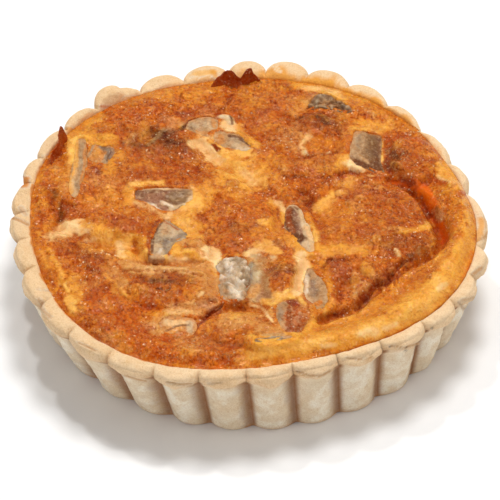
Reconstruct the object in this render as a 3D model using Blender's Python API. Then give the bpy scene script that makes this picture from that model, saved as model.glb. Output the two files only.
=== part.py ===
"""A small round quiche: a fluted pastry shell, its baked egg and cheese filling, and the
mushroom pieces and crisp flakes that stand out of the browned top.

Sizes are real sizes in millimetres, turned into metres where vertices are placed.
A bearing is counted in degrees from the back of the quiche (+Y), clockwise seen from above.
"""

import math
import random

import bmesh
import bpy
import numpy as np
from mathutils import Matrix, Vector

MM = 0.001
GAP = 0.3                     # clearance kept between a piece and what it touches

# Pastry shell
RIM_RADIUS = 60.0             # tip of a flute at the lip
RIM_HEIGHT = 22.0             # crest of the rim above the underside
FLOOR_THICKNESS = 3.2
FLUTES = 30
FLUTE_STEPS = (0.0, 0.11, 0.3, 0.5, 0.7, 0.89)   # places across one flute, from its groove
FLUTE_ROUNDNESS = 0.7         # below 1 the flute is full and its groove a narrow V
BASE_SHIFT = 1.8              # the base sits this far to the right of the rim
WALL_AT_GROOVE = 1.3
LIP_DEPTH = 2.7               # depth of a groove where it meets the lip
FLUTE_UNEVENNESS = 0.35
DOUGH_SEED = 11

# Slow waves round the shell: (waves per turn, size, bearing of a crest)
RIM_WAVES = ((2, 0.66, 9.8), (3, 1.56, -10.1), (4, 1.30, 25.7))             # mm
BASE_WAVES = ((2, 0.60, 9.8),)                                              # mm
FILLING_WAVES = ((1, 0.8, 124.0), (2, 0.3, -81.0), (3, 0.9, -26.0), (4, 1.1, 30.8))   # mm
FLUTE_DRIFT = ((1, 3.99, 164.7), (2, 1.54, -59.3), (3, 1.14, -2.2), (4, 0.85, -1.8))  # degrees
FIRST_GROOVE = -3.5           # mean bearing of the first groove
FILLING_RADIUS = 54.7         # mean radius of the filling where it meets the rim

# Outer side of the shell from the underside up: height, tip radius, groove depth
OUTER_ROWS = (
    (0.0, 53.2, 1.6),
    (0.9, 54.1, 1.8),
    (8.0, 56.2, 2.6),
    (16.4, 58.6, 3.1),
    (18.4, 59.8, 3.0),
    (20.0, 60.0, LIP_DEPTH),
    (21.2, 59.3, 2.4),
)
# Inner side from the crest down: height, distance outside the filling's radius
INNER_LIP_ROWS = ((21.5, 0.7), (19.4, 0.0))
WELL_ROWS = ((11.0, -2.6), (4.6, -4.6), (FLOOR_THICKNESS, -6.2))
CREST_SHARE = 0.45            # where the crest lies between the filling and the lip
CREST_SHIFT = 0.3             # how much further out than that the crest lies
RIM_BAND = 0.25               # top share of the height in which the knob and broken lip are felt

# Extra knob of dough pinched on at the back left: bearing, half width, outwards, up
KNOB = (-38.0, 4.5, 1.4, 1.1)
# Broken-off lip piece on the left: bearing, half width, outwards, up
BROKEN_LIP = (-86.0, 5.0, 1.0, -0.9)

# Filling
SURFACE_LEVEL = 21.3
EDGE_DROP = 1.5               # how far the top curves down where it meets the rim
EDGE_SHARE = 0.09             # share of the radius over which it does
LATTICE = 18                  # cells from the centre of the top to its edge
LATTICE_TURN = -30.0          # degrees, brings a corner of the lattice onto the bearing of a sector

# Raised forms of the top: x, y, half length, half width, turn in degrees, height, fullness
DOMES = (
    (41.0, 20.0, 9.5, 8.0, 70.0, 3.2, 0.6),       # porous lump at the back right
    (31.0, -7.0, 19.0, 14.0, 62.0, 1.6, 0.7),     # bubbled plate
    (10.0, -24.0, 9.5, 5.5, 80.0, 2.2, 0.8),      # browned lump beside the pale patch
    (-1.0, -41.0, 10.0, 6.0, -4.0, 2.2, 0.7),     # smooth fold at the front
    (-19.0, -26.5, 13.0, 7.5, -8.0, 2.4, 0.8),    # browned fold at the lower left
    (-29.0, -4.5, 11.0, 7.5, -10.0, 1.8, 0.7),    # smooth dome on the left
    (0.0, -4.0, 10.5, 9.0, 80.0, 1.7, 0.8),       # middle dome
    (-12.0, -12.5, 5.5, 3.6, -70.0, 1.6, 0.6),    # small bent fold
    (-6.0, 13.0, 9.0, 6.0, 10.0, 1.2, 1.0),
    (16.5, 19.5, 9.0, 5.5, 8.0, 1.4, 0.7),        # plate behind the middle
    (18.5, 34.5, 6.5, 4.5, -10.0, 1.6, 0.8),      # reddish lump near the back
    (0.0, 42.0, 13.0, 6.5, 0.0, 1.3, 1.0),
    (-28.0, 37.0, 14.0, 8.0, 35.0, 1.2, 1.0),
    (-20.0, 27.0, 8.0, 5.0, 20.0, 1.3, 1.0),
    (-27.0, 15.0, 8.0, 5.0, 0.0, 1.0, 1.0),
    (-40.0, -15.0, 7.0, 5.0, 60.0, 1.0, 1.0),
    (-32.0, -33.0, 9.0, 6.0, 40.0, 0.9, 1.0),
)
# Long raised rolls: path, half width, height
ROLLS = (
    (((53.0, 8.0), (53.5, -4.0), (51.0, -15.0), (46.5, -26.0), (39.0, -36.0), (29.0, -42.5),
      (17.0, -46.5), (5.0, -48.0)), 7.0, 2.5),
    (((45.0, 34.0), (51.0, 20.0), (53.0, 8.0)), 5.0, 1.2),
    (((5.0, -48.0), (-8.0, -50.5), (-20.0, -48.5), (-31.0, -42.0), (-40.0, -31.0),
      (-46.5, -18.0)), 5.0, 0.9),
)
# Furrows: path, half width, depth
FURROWS = (
    (((36.0, 14.5), (40.0, 11.5), (43.5, 7.0), (45.5, 2.0), (47.5, -3.0), (48.5, -7.5),
      (47.0, -12.5)), 2.6, 3.2),
    (((45.0, -15.0), (39.0, -18.0), (34.5, -22.5), (30.0, -27.5), (26.0, -33.0),
      (17.0, -37.5)), 2.4, 2.2),
    (((-12.0, 28.0), (-7.0, 21.0), (2.0, 13.0), (7.5, 6.0), (9.5, -5.0)), 3.6, 1.3),
    (((14.0, 9.0), (15.5, 3.5), (17.5, -3.0), (17.0, -12.0)), 2.6, 1.8),
    (((-46.0, -4.0), (-36.0, -10.0), (-27.0, -11.0), (-24.0, -16.5), (-14.0, -17.5)), 3.2, 1.3),
    (((-12.5, -42.0), (-9.5, -36.5), (-4.0, -33.0), (4.0, -33.5)), 2.2, 1.4),
    (((-49.0, 8.0), (-46.0, 1.0), (-45.5, -3.0)), 2.2, 1.2),
)

# Mushroom pieces: name, x, y, height of the middle, half length, half width, half thickness,
# turn about the vertical, lean about the piece's own length, roll end to end, seed
MUSHROOMS = (
    ("mushroom_slab_left", -20.5, 6.0, 22.0, 7.8, 4.6, 1.5, -3.0, 24.0, 2.0, 1),
    ("mushroom_grey_left", -19.6, -8.0, 22.2, 7.2, 4.2, 1.6, 104.0, 14.0, 6.0, 2),
    ("mushroom_oval_middle", 12.2, -3.4, 21.8, 7.2, 3.0, 1.6, 98.0, -16.0, 3.0, 3),
    ("mushroom_large_back_right", 29.8, 23.6, 23.3, 8.4, 4.5, 2.0, 82.0, 18.0, 4.0, 4),
    ("mushroom_gills_back", 20.8, 41.6, 23.1, 6.8, 3.9, 1.9, -24.0, 20.0, 0.0, 5),
    ("mushroom_beige_back_left", -10.8, 33.0, 22.9, 5.4, 3.2, 1.5, 8.0, 16.0, 0.0, 6),
    ("mushroom_long_back", -2.2, 27.0, 22.6, 5.2, 3.1, 1.5, -42.0, 20.0, 3.0, 7),
    ("mushroom_strip_left", -41.6, 17.5, 22.5, 12.2, 2.2, 1.5, 86.0, 16.0, 1.0, 8),
    ("mushroom_blue_left", -34.6, 22.4, 22.5, 4.4, 2.2, 1.3, 76.0, -12.0, 0.0, 9),
    ("mushroom_crumbly_front", -3.4, -23.2, 22.2, 7.8, 4.2, 2.0, 94.0, 4.0, 0.0, 10),
    ("mushroom_pale_front_right", 17.0, -28.2, 22.0, 7.6, 3.1, 1.6, 96.0, -22.0, 0.0, 11),
    ("mushroom_brown_front", 11.2, -37.8, 22.8, 5.8, 3.8, 2.2, 112.0, 10.0, 0.0, 12),
    ("mushroom_pale_front_left", -15.6, -39.6, 22.5, 4.9, 3.4, 1.6, -34.0, 16.0, 0.0, 13),
    ("mushroom_edge_front", 6.8, -45.8, 22.8, 5.2, 1.1, 1.3, 6.0, -14.0, 2.0, 14),
)
# Rings of a mushroom piece from underneath up: share of the half thickness, share of the outline
SLAB_RINGS = ((-1.0, 0.62), (-0.55, 0.93), (0.05, 1.0), (0.62, 0.9), (1.0, 0.55))
SLAB_SIDES = 12
SLAB_UNEVENNESS = 0.10
SLAB_WAVE = 0.12              # wave of a piece's edge, as a share of its half thickness

# Crisp flakes: name, base line from x, y to x, y, bottom, peaks as (share along, height), lean
# outwards
FLAKES = (
    ("crisp_flake_left", (-48.2, 19.2), (-44.6, 28.8), 20.0,
     ((0.0, 1.4), (0.3, 3.8), (0.75, 5.0), (1.0, 4.2)), 0.25),
    ("crisp_flake_back", (-9.2, 50.2), (4.4, 51.0), 20.0,
     ((0.0, 1.4), (0.3, 6.0), (0.52, 3.2), (0.72, 6.6), (0.86, 3.8), (1.0, 2.6)), 0.2),
)
FLAKE_THICKNESS = 0.8
FLAKE_STEPS = 10
FLAKE_MIDDLE = 0.55           # share of the height of the row of corners between foot and top
FLAKE_CURL = 0.35             # how far a flake curls to and fro
FLAKE_CURLS = 3               # half waves of that curl along a flake

COLOURS = {
    "crust": ((0.72, 0.50, 0.28), 0.75),
    "filling": ((0.62, 0.23, 0.04), 0.42),
    "mushroom": ((0.30, 0.22, 0.15), 0.55),
    "crisp_flake": ((0.22, 0.04, 0.012), 0.35),
}


def clear_scene():
    for old in list(bpy.data.objects):
        bpy.data.objects.remove(old, do_unlink=True)


def finish(name, finish_name):
    colour, roughness = COLOURS[finish_name]
    material = bpy.data.materials.new(name)
    material.use_nodes = True
    shader = material.node_tree.nodes["Principled BSDF"]
    shader.inputs["Base Color"].default_value = (*colour, 1.0)
    shader.inputs["Roughness"].default_value = roughness
    return material


def add_object(name, bm, finish_name, sharp_degrees=40.0):
    mesh = bpy.data.meshes.new(name)
    bm.to_mesh(mesh)
    bm.free()
    mesh.shade_smooth()
    mesh.set_sharp_from_angle(angle=math.radians(sharp_degrees))
    obj = bpy.data.objects.new(name, mesh)
    bpy.context.scene.collection.objects.link(obj)
    mesh.materials.append(finish(name, finish_name))
    return obj


def waves(bearing, rows):
    """Sum of slow cosine waves at a bearing in degrees."""
    return sum(size * np.cos(np.radians(count * (bearing - crest))) for count, size, crest in rows)


def bearing_of_flute(place):
    """Bearing of a place counted in flutes; whole numbers are grooves."""
    even = 360.0 * place / FLUTES
    return even + FIRST_GROOVE + waves(even, FLUTE_DRIFT)


def local_rise(bearing, feature):
    """Share of a local feature that is felt at a bearing: 1 in its middle, 0 outside."""
    away = (bearing - feature[0] + 180.0) % 360.0 - 180.0
    inside = max(0.0, 1.0 - (away / feature[1]) ** 2)
    return math.sqrt(inside)


def filling_radius(bearing):
    """Radius of the filling's edge, kept clear of the bottoms of the grooves."""
    wanted = FILLING_RADIUS + waves(bearing, FILLING_WAVES)
    limit = RIM_RADIUS + waves(bearing, RIM_WAVES) - LIP_DEPTH - WALL_AT_GROOVE
    return np.minimum(wanted, limit)


def rim_centre():
    """Middle of the box round the rim, which becomes the origin of the model."""
    bearings = np.arange(0.0, 360.0, 0.5)
    reach = RIM_RADIUS + waves(bearings, RIM_WAVES)
    x = reach * np.sin(np.radians(bearings))
    y = reach * np.cos(np.radians(bearings))
    return (x.min() + x.max()) / 2, (y.min() + y.max()) / 2


CENTRE_X, CENTRE_Y = rim_centre()


def placed(x, y, z):
    """A point of the model in metres, from millimetres about the middle of the flutes."""
    return Vector(((x - CENTRE_X) * MM, (y - CENTRE_Y) * MM, z * MM))


def ring_point(bearing, radius, height):
    turn = math.radians(bearing)
    shift = BASE_SHIFT * (1.0 - height / RIM_HEIGHT)
    return placed(radius * math.sin(turn) + shift, radius * math.cos(turn), height)


def make_crust():
    """The shell: rings of one fluted outline from the underside, over the rim, to the floor."""
    draw = random.Random(DOUGH_SEED)
    unevenness = [draw.uniform(-1, 1) * FLUTE_UNEVENNESS for _ in range(FLUTES)]
    places = [flute + step for flute in range(FLUTES) for step in FLUTE_STEPS]
    bearings = [bearing_of_flute(place) for place in places]
    fullness = [abs(math.sin(math.pi * place)) ** FLUTE_ROUNDNESS for place in places]

    rings = []
    for height, tip_radius, depth in OUTER_ROWS:
        rise = height / RIM_HEIGHT
        ring = []
        for place, bearing, full in zip(places, bearings, fullness):
            wave = waves(bearing, RIM_WAVES) * rise + waves(bearing, BASE_WAVES) * (1 - rise)
            uneven = unevenness[int(place)] * full * rise
            knob = local_rise(bearing, KNOB)
            broken = local_rise(bearing, BROKEN_LIP)
            felt = max(0.0, 1.0 - (1.0 - rise) / RIM_BAND)
            out = (KNOB[2] * knob + BROKEN_LIP[2] * broken) * felt
            up = (KNOB[3] * knob + BROKEN_LIP[3] * broken + uneven) * felt
            radius = tip_radius + wave + uneven + out - depth * (1 - full)
            ring.append(ring_point(bearing, radius, height + up))
        rings.append(ring)

    crest = []
    for place, bearing, full in zip(places, bearings, fullness):
        inner = filling_radius(bearing)
        lip = OUTER_ROWS[-1][1] + waves(bearing, RIM_WAVES) - OUTER_ROWS[-1][2] * (1 - full)
        radius = inner + (lip - inner) * CREST_SHARE + CREST_SHIFT
        up = KNOB[3] * local_rise(bearing, KNOB)
        up += BROKEN_LIP[3] * local_rise(bearing, BROKEN_LIP)
        up += unevenness[int(place)] * full
        crest.append(ring_point(bearing, radius, RIM_HEIGHT + up))
    rings.append(crest)

    for height, outside in INNER_LIP_ROWS + WELL_ROWS:
        rings.append([ring_point(b, filling_radius(b) + outside, height) for b in bearings])

    bm = bmesh.new()
    rows = [[bm.verts.new(point) for point in ring] for ring in rings]
    for lower, upper in zip(rows, rows[1:]):
        count = len(lower)
        for i in range(count):
            j = (i + 1) % count
            bm.faces.new((lower[i], upper[i], upper[j], lower[j]))
    bm.faces.new(rows[0])
    bm.faces.new(list(reversed(rows[-1])))
    bmesh.ops.recalc_face_normals(bm, faces=bm.faces)
    return add_object("crust", bm, "crust")


def distance_to_path(x, y, path):
    """Distance in the plane from each point to a line of straight runs."""
    nearest = np.full(np.shape(x), 1e9)
    for (ax, ay), (bx, by) in zip(path, path[1:]):
        run_x, run_y = bx - ax, by - ay
        share = ((x - ax) * run_x + (y - ay) * run_y) / (run_x * run_x + run_y * run_y)
        share = np.clip(share, 0.0, 1.0)
        nearest = np.minimum(nearest, np.hypot(x - ax - share * run_x, y - ay - share * run_y))
    return nearest


def surface_height(x, y):
    """Height in mm of the filling's top at points in mm about the middle of the flutes."""
    z = np.full(np.shape(x), SURFACE_LEVEL)
    for dome_x, dome_y, length, width, turn, height, fullness in DOMES:
        c, s = math.cos(math.radians(turn)), math.sin(math.radians(turn))
        along = ((x - dome_x) * c + (y - dome_y) * s) / length
        across = ((y - dome_y) * c - (x - dome_x) * s) / width
        inside = np.clip(1.0 - along ** 2 - across ** 2, 0.0, None)
        z = z + height * inside ** fullness
    for path, half_width, height in ROLLS:
        away = np.clip(distance_to_path(x, y, path) / half_width, 0.0, 1.0)
        z = z + height * np.cos(away * math.pi / 2) ** 2
    for path, half_width, depth in FURROWS:
        away = np.clip(distance_to_path(x, y, path) / half_width, 0.0, 1.0)
        z = z - depth * np.cos(away * math.pi / 2) ** 2
    reach = np.hypot(x, y) / filling_radius(np.degrees(np.arctan2(x, y)))
    edge = np.clip((reach - 1.0 + EDGE_SHARE) / EDGE_SHARE, 0.0, 1.0)
    return z - EDGE_DROP * edge ** 2


def hexagon_to_disc(x, y):
    """Ring share and bearing of a point of a hexagon of radius 1, so that rings stay even."""
    turn = math.atan2(y, x) % (2 * math.pi)
    sector = min(5, int(turn / (math.pi / 3)))
    start = sector * math.pi / 3
    # the point as a sum of the sector's two corner directions
    cross = math.sin(math.pi / 3)
    first = (x * math.sin(start + math.pi / 3) - y * math.cos(start + math.pi / 3)) / cross
    second = (y * math.cos(start) - x * math.sin(start)) / cross
    ring = first + second
    if ring < 1e-6:
        return 0.0, 0.0
    return ring, math.degrees(start + second / ring * math.pi / 3)


def make_filling():
    """The filling: an even triangle lattice for the relief of the top, with sides to the floor."""
    bm = bmesh.new()
    bmesh.ops.create_circle(bm, cap_ends=True, cap_tris=True, segments=6, radius=1.0)
    turn_back = Matrix.Rotation(math.radians(LATTICE_TURN), 3, "Z")
    bmesh.ops.rotate(bm, cent=(0.0, 0.0, 0.0), matrix=turn_back, verts=bm.verts)
    bmesh.ops.subdivide_edges(bm, edges=bm.edges, cuts=LATTICE - 1, use_grid_fill=True)
    bearing_of = bm.verts.layers.float.new("bearing")
    for vert in bm.verts:
        ring, bearing = hexagon_to_disc(vert.co.x, vert.co.y)
        vert[bearing_of] = bearing
        turn = math.radians(bearing)
        reach = ring * (float(filling_radius(bearing)) - GAP)
        x, y = reach * math.sin(turn), reach * math.cos(turn)
        vert.co = placed(x, y, float(surface_height(np.array(x), np.array(y))))

    lower = [edge for edge in bm.edges if edge.is_boundary]
    for height, outside in WELL_ROWS:
        level = height + (GAP if height == FLOOR_THICKNESS else 0.0)
        made = bmesh.ops.extrude_edge_only(bm, edges=lower)["geom"]
        lower = [part for part in made if isinstance(part, bmesh.types.BMEdge)]
        for vert in {v for edge in lower for v in edge.verts}:
            bearing = vert[bearing_of]
            radius = float(filling_radius(bearing)) + outside - GAP
            vert.co = ring_point(bearing, radius, level)
    bmesh.ops.holes_fill(bm, edges=lower, sides=0)
    bmesh.ops.recalc_face_normals(bm, faces=bm.faces)
    return add_object("filling", bm, "filling", sharp_degrees=60.0)


def slab_mesh(length, width, thickness, seed, grow):
    """An uneven rounded slab about the origin in metres; grow makes the pocket it sits in."""
    draw = random.Random(seed)
    bumps = [1 + draw.uniform(-1, 1) * SLAB_UNEVENNESS for _ in range(SLAB_SIDES)]
    bm = bmesh.new()
    rows = []
    for level, share in SLAB_RINGS:
        row = []
        for i in range(SLAB_SIDES):
            turn = 2 * math.pi * i / SLAB_SIDES
            reach = share * bumps[i]
            x = math.cos(turn) * (length * reach + grow)
            y = math.sin(turn) * (width * reach + grow)
            wave = SLAB_WAVE * thickness * math.sin(2 * turn + seed)
            row.append(bm.verts.new(Vector((x, y, level * (thickness + grow) + wave)) * MM))
        rows.append(row)
    for lower, upper in zip(rows, rows[1:]):
        for i in range(SLAB_SIDES):
            j = (i + 1) % SLAB_SIDES
            bm.faces.new((lower[i], lower[j], upper[j], upper[i]))
    bm.faces.new(list(reversed(rows[0])))
    bm.faces.new(rows[-1])
    bmesh.ops.recalc_face_normals(bm, faces=bm.faces)
    return bm


def mushroom_place(x, y, z, turn, lean, roll):
    place = Matrix.Translation(placed(x, y, z))
    place = place @ Matrix.Rotation(math.radians(turn), 4, "Z")
    place = place @ Matrix.Rotation(math.radians(roll), 4, "Y")
    return place @ Matrix.Rotation(math.radians(lean), 4, "X")


def make_mushroom(row, grow=0.0):
    name, x, y, z, length, width, thickness, turn, lean, roll, seed = row
    bm = slab_mesh(length, width, thickness, seed, grow)
    bmesh.ops.transform(bm, matrix=mushroom_place(x, y, z, turn, lean, roll), verts=bm.verts)
    return add_object(name + ("_pocket" if grow else ""), bm, "mushroom", sharp_degrees=70.0)


def flake_top(peaks, share):
    """Height of a flake's upper edge at a share of its length."""
    for (start, low), (end, high) in zip(peaks, peaks[1:]):
        if share <= end:
            return low + (high - low) * (share - start) / (end - start)
    return peaks[-1][1]


def make_flake(row, grow=0.0):
    """A thin crisp sheet that stands on the filling's edge and curls along its length."""
    name, start, end, bottom, peaks, lean = row
    start, end = Vector(start), Vector(end)
    along = (end - start).normalized()
    outwards = Vector((-along.y, along.x))
    if outwards.dot(start) < 0:
        outwards.negate()
    half = FLAKE_THICKNESS / 2 + grow
    rows = []
    bm = bmesh.new()
    for i in range(FLAKE_STEPS + 1):
        share = i / FLAKE_STEPS
        foot = start.lerp(end, share) + along * (grow * (2 * share - 1))
        curl = FLAKE_CURL * math.sin(share * FLAKE_CURLS * math.pi)
        height = flake_top(peaks, share) + grow
        low = -grow
        section = []
        middle = height * FLAKE_MIDDLE
        for level, side in ((low, -1), (middle, -1), (height, -1),
                            (height, 1), (middle, 1), (low, 1)):
            offset = lean * level + curl + side * half
            spot = foot + outwards * offset
            section.append(bm.verts.new(placed(spot.x, spot.y, bottom + level)))
        rows.append(section)
    for near, far in zip(rows, rows[1:]):
        for i in range(len(near)):
            j = (i + 1) % len(near)
            bm.faces.new((near[i], near[j], far[j], far[i]))
    bm.faces.new(rows[0])
    bm.faces.new(list(reversed(rows[-1])))
    bmesh.ops.triangulate(bm, faces=bm.faces)
    bmesh.ops.recalc_face_normals(bm, faces=bm.faces)
    return add_object(name + ("_pocket" if grow else ""), bm, "crisp_flake", sharp_degrees=50.0)


def sink_into(filling, pockets):
    """Cuts the pockets that the toppings sit in out of the filling."""
    hidden = bpy.data.collections.new("pockets")
    bpy.context.scene.collection.children.link(hidden)
    for pocket in pockets:
        bpy.context.scene.collection.objects.unlink(pocket)
        hidden.objects.link(pocket)
        pocket.hide_render = True
        pocket.display_type = "WIRE"
    cut = filling.modifiers.new("pockets", "BOOLEAN")
    cut.operation = "DIFFERENCE"
    cut.solver = "EXACT"
    cut.operand_type = "COLLECTION"
    cut.collection = hidden


def build():
    clear_scene()
    make_crust()
    filling = make_filling()
    pockets = []
    for row in MUSHROOMS:
        make_mushroom(row)
        pockets.append(make_mushroom(row, grow=GAP))
    for row in FLAKES:
        make_flake(row)
        pockets.append(make_flake(row, grow=GAP))
    sink_into(filling, pockets)


build()
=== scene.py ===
"""Looks of a small round quiche: floured pastry shell, browned egg and cheese filling, mushrooms.

Shapes are worked out in millimetres about the middle of the flutes and placed in metres.
A bearing is counted in degrees from the back (+Y), clockwise seen from above.
Marks of colour are laid out on a flat plan of the top, which was drawn looking along the camera's
slope, so every point is first carried along that slope onto the plan.
"""

import math

import bmesh
import bpy
import numpy as np
from mathutils import Matrix, Vector


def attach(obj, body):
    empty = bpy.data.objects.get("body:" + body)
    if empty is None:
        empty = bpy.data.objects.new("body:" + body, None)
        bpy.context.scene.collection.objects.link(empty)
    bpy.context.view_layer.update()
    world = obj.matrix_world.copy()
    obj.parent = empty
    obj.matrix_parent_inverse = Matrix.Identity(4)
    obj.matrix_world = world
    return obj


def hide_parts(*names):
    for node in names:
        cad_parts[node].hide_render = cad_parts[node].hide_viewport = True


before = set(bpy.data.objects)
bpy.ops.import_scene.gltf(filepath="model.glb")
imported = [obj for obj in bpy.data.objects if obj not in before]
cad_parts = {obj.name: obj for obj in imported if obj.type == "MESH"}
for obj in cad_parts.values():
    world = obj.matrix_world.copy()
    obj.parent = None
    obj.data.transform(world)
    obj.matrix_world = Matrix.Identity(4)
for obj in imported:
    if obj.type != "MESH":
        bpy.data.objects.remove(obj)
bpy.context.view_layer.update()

MM = 0.001

# Camera
CAMERA_SLOPE = 41.83          # degrees above the floor
CAMERA_DISTANCE = 900.0
AIM_RIGHT, AIM_UP = 1.094, -8.63
AIM_HEIGHT = 21.56
VIEW_WIDTH = 122.97           # width of the view at the aim point
SENSOR = 36.0
PLAN_LEVEL = 21.0             # height of the flat plan
MARK_BLUR = 1.15              # how much wider than listed the edge of a mark fades

# Pastry shell, the same values as the solid
RIM_RADIUS = 60.0
RIM_HEIGHT = 22.0
FLOOR_THICKNESS = 3.2
FLUTES = 30
FLUTE_ROUNDNESS = 0.7
BASE_SHIFT = 1.8
WALL_AT_GROOVE = 1.3
LIP_DEPTH = 2.7
RIM_WAVES = ((2, 0.66, 9.8), (3, 1.56, -10.1), (4, 1.30, 25.7))
BASE_WAVES = ((2, 0.60, 9.8),)
FILLING_WAVES = ((1, 0.8, 124.0), (2, 0.3, -81.0), (3, 0.9, -26.0), (4, 1.1, 30.8))
FLUTE_DRIFT = ((1, 3.99, 164.7), (2, 1.54, -59.3), (3, 1.14, -2.2), (4, 0.85, -1.8))
FIRST_GROOVE = -3.5
GROOVE_SHIFTS = (              # groove, degrees that it stands off the even drift
    (0, 1.4), (1, 0.0), (5, 0.0), (6, 0.5), (7, -2.4), (8, 4.6), (9, 2.2), (10, 0.6), (11, -0.8),
    (12, 0.0), (16, 0.8), (17, 0.0), (25, 0.0), (26, 1.2), (27, 0.6), (28, 1.4), (29, 1.3), (30, 1.4),
)
FILLING_RADIUS = 54.7
OUTER_ROWS = (
    (0.0, 53.2, 1.6),
    (0.9, 54.1, 1.8),
    (8.0, 56.2, 2.6),
    (16.4, 58.6, 3.1),
    (18.4, 59.8, 3.0),
    (20.0, 60.0, LIP_DEPTH),
    (21.2, 59.3, 2.4),
)
WELL_ROWS = ((11.0, -2.6), (4.6, -4.6), (FLOOR_THICKNESS, -6.2))
KNOB = (-38.0, 4.5, 1.4, 1.1)
BROKEN_LIP = (-86.0, 5.0, 1.0, -0.9)

# Finer make of the shell
FLUTE_COLUMNS = 26            # columns of faces across one flute
GROOVE_ROUNDING = 0.22        # rounds the bottom of a groove, which is a sharp V in the solid
PETAL_ROUNDNESS = 0.55        # the lip's petals are fuller than the wall's flutes
GROOVE_CROWDING = 0.5         # how much closer the columns stand at a groove
WALL_STEP = 0.33              # height of a row of the wall
LIP_SHAPE = (                 # share of the band from filling to lip, height
    (1.0, 21.0), (0.965, 21.45), (0.9, 21.75), (0.78, 21.95), (0.6, 22.05), (0.45, 22.0),
    (0.33, 21.9), (0.22, 21.75), (0.14, 21.5), (0.08, 21.15), (0.04, 20.6), (0.0, 19.6),
)
LIP_PARTS = 3                 # rows to each step of the lip's shape
RIM_ARC = 1.04                # length along the rim of one degree
WALL_SETBACK = 0.33           # keeps the uneven dough inside the solid's outline
UNDERSIDE_LIFT = 0.12         # how far the middle of the base stands off the table
LIP_EDGE = (20.4, 1.9)        # lower edge of the lip at a groove, and how much lower at a tip
NOTCH_DEPTHS = (              # bearing, how far the lip drops at a groove there
    (-180.0, 1.6), (-130.0, 1.9), (-100.0, 2.0), (-70.0, 2.4), (-40.0, 3.2), (-10.0, 3.0),
    (15.0, 2.2), (45.0, 3.0), (80.0, 2.8), (110.0, 2.0), (140.0, 1.5), (180.0, 1.6),
)

# Filling: the solid's domes, rolls and furrows, with a slightly higher edge
BAKED = (0.92, 0.81, 0.46)    # how far the filling's crispest tones deepen in the oven
SURFACE_LEVEL = 21.3
EDGE_DROP = 0.6
EDGE_SHARE = 0.09
TOP_LATTICE = 176
UPPER_SIDE = 19.4             # where the side of the filling passes below the lip
FILLING_GAP = 0.3             # between the sides of the filling and the shell
FILLING_OVERLAP = 0.5         # how far the filling runs over the inner slope of the lip
EDGE_ROUND = 0.05             # share of the radius over which a high edge rounds down
EDGE_LEVEL = 21.4             # where such an edge meets the lip
BUBBLES = (                   # x, y on the plan, radius, height
    (29.5, -20.0, 1.9, 0.8), (26.6, -23.4, 1.5, 0.6), (31.8, -22.8, 1.2, 0.6),
    (33.4, -23.3, 1.1, 0.5), (32.9, -26.2, 0.9, 0.4), (28.2, -26.6, 1.4, 0.4),
    (42.9, -12.9, 1.5, 0.9), (44.4, -11.6, 1.1, 0.6), (37.0, -13.5, 1.0, 0.6),
    (32.1, -7.9, 1.2, 0.4), (47.3, 1.4, 1.5, 0.9), (24.0, 9.0, 1.6, 0.4), (28.0, 7.0, 1.3, 0.4),
    (14.6, 6.4, 1.3, 0.5), (8.3, -9.8, 1.2, 0.8), (39.4, -18.2, 1.0, 0.5),
    (35.6, -19.4, 0.9, 0.4), (-9.0, -5.5, 1.1, 0.3), (-3.2, 12.6, 1.3, 0.4),
    (20.2, 18.4, 1.0, 0.4), (-28.8, 30.6, 0.9, 0.5), (35.0, 24.6, 1.2, 0.4),
    (37.6, 19.6, 1.6, 0.6), (37.2, 14.6, 1.0, 0.5), (-33.5, -14.6, 0.9, 0.3),
    (-40.6, -22.4, 1.0, 0.3), (-38.8, -24.6, 0.9, 0.3), (26.3, -6.8, 1.1, 0.3),
    (21.0, -5.0, 1.3, 0.3), (36.0, 6.0, 1.0, 0.3), (30.0, 11.0, 1.2, 0.3),
)
BUBBLE_RISE = 1.3             # how much higher than listed the bubbles stand
CRACKS = (                    # depth, half width, path on the plan
    (0.7, 0.22, ((-16.5, 47.5), (-16.2, 44.8))),
    (0.6, 0.25, ((8.2, 22.2), (15.5, 22.6), (24.0, 24.6))),
    (0.7, 0.28, ((8.8, 15.2), (14.0, 15.0), (20.0, 14.6), (26.0, 17.0), (31.0, 16.6))),
    (0.7, 0.3, ((33.9, 27.0), (33.3, 24.0), (34.2, 19.0))),
    (0.5, 0.2, ((42.6, -16.6), (41.4, -19.0), (38.6, -20.6), (36.6, -20.2))),
    (0.6, 0.22, ((36.6, -21.6), (36.2, -25.0))),
    (0.6, 0.3, ((-23.7, -14.4), (-24.0, -10.0), (-23.2, -6.0), (-21.4, -1.4))),
    (0.8, 0.35, ((-30.0, -19.4), (-24.0, -20.4), (-16.0, -20.0), (-10.0, -22.6))),
    (0.5, 0.22, ((-33.0, 3.0), (-25.0, 4.0), (-20.5, 0.8))),
    (0.7, 0.3, ((-5.2, -31.6), (-8.6, -35.0), (-11.0, -38.6), (-11.8, -42.0))),
    (0.5, 0.2, ((10.4, 35.2), (14.0, 38.0))),
    (0.4, 0.18, ((-45.6, -21.6), (-44.2, -24.0), (-44.6, -26.6))),
    (0.6, 0.25, ((15.8, -16.6), (19.0, -20.0), (20.2, -15.8), (24.4, -15.2))),
)
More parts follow.
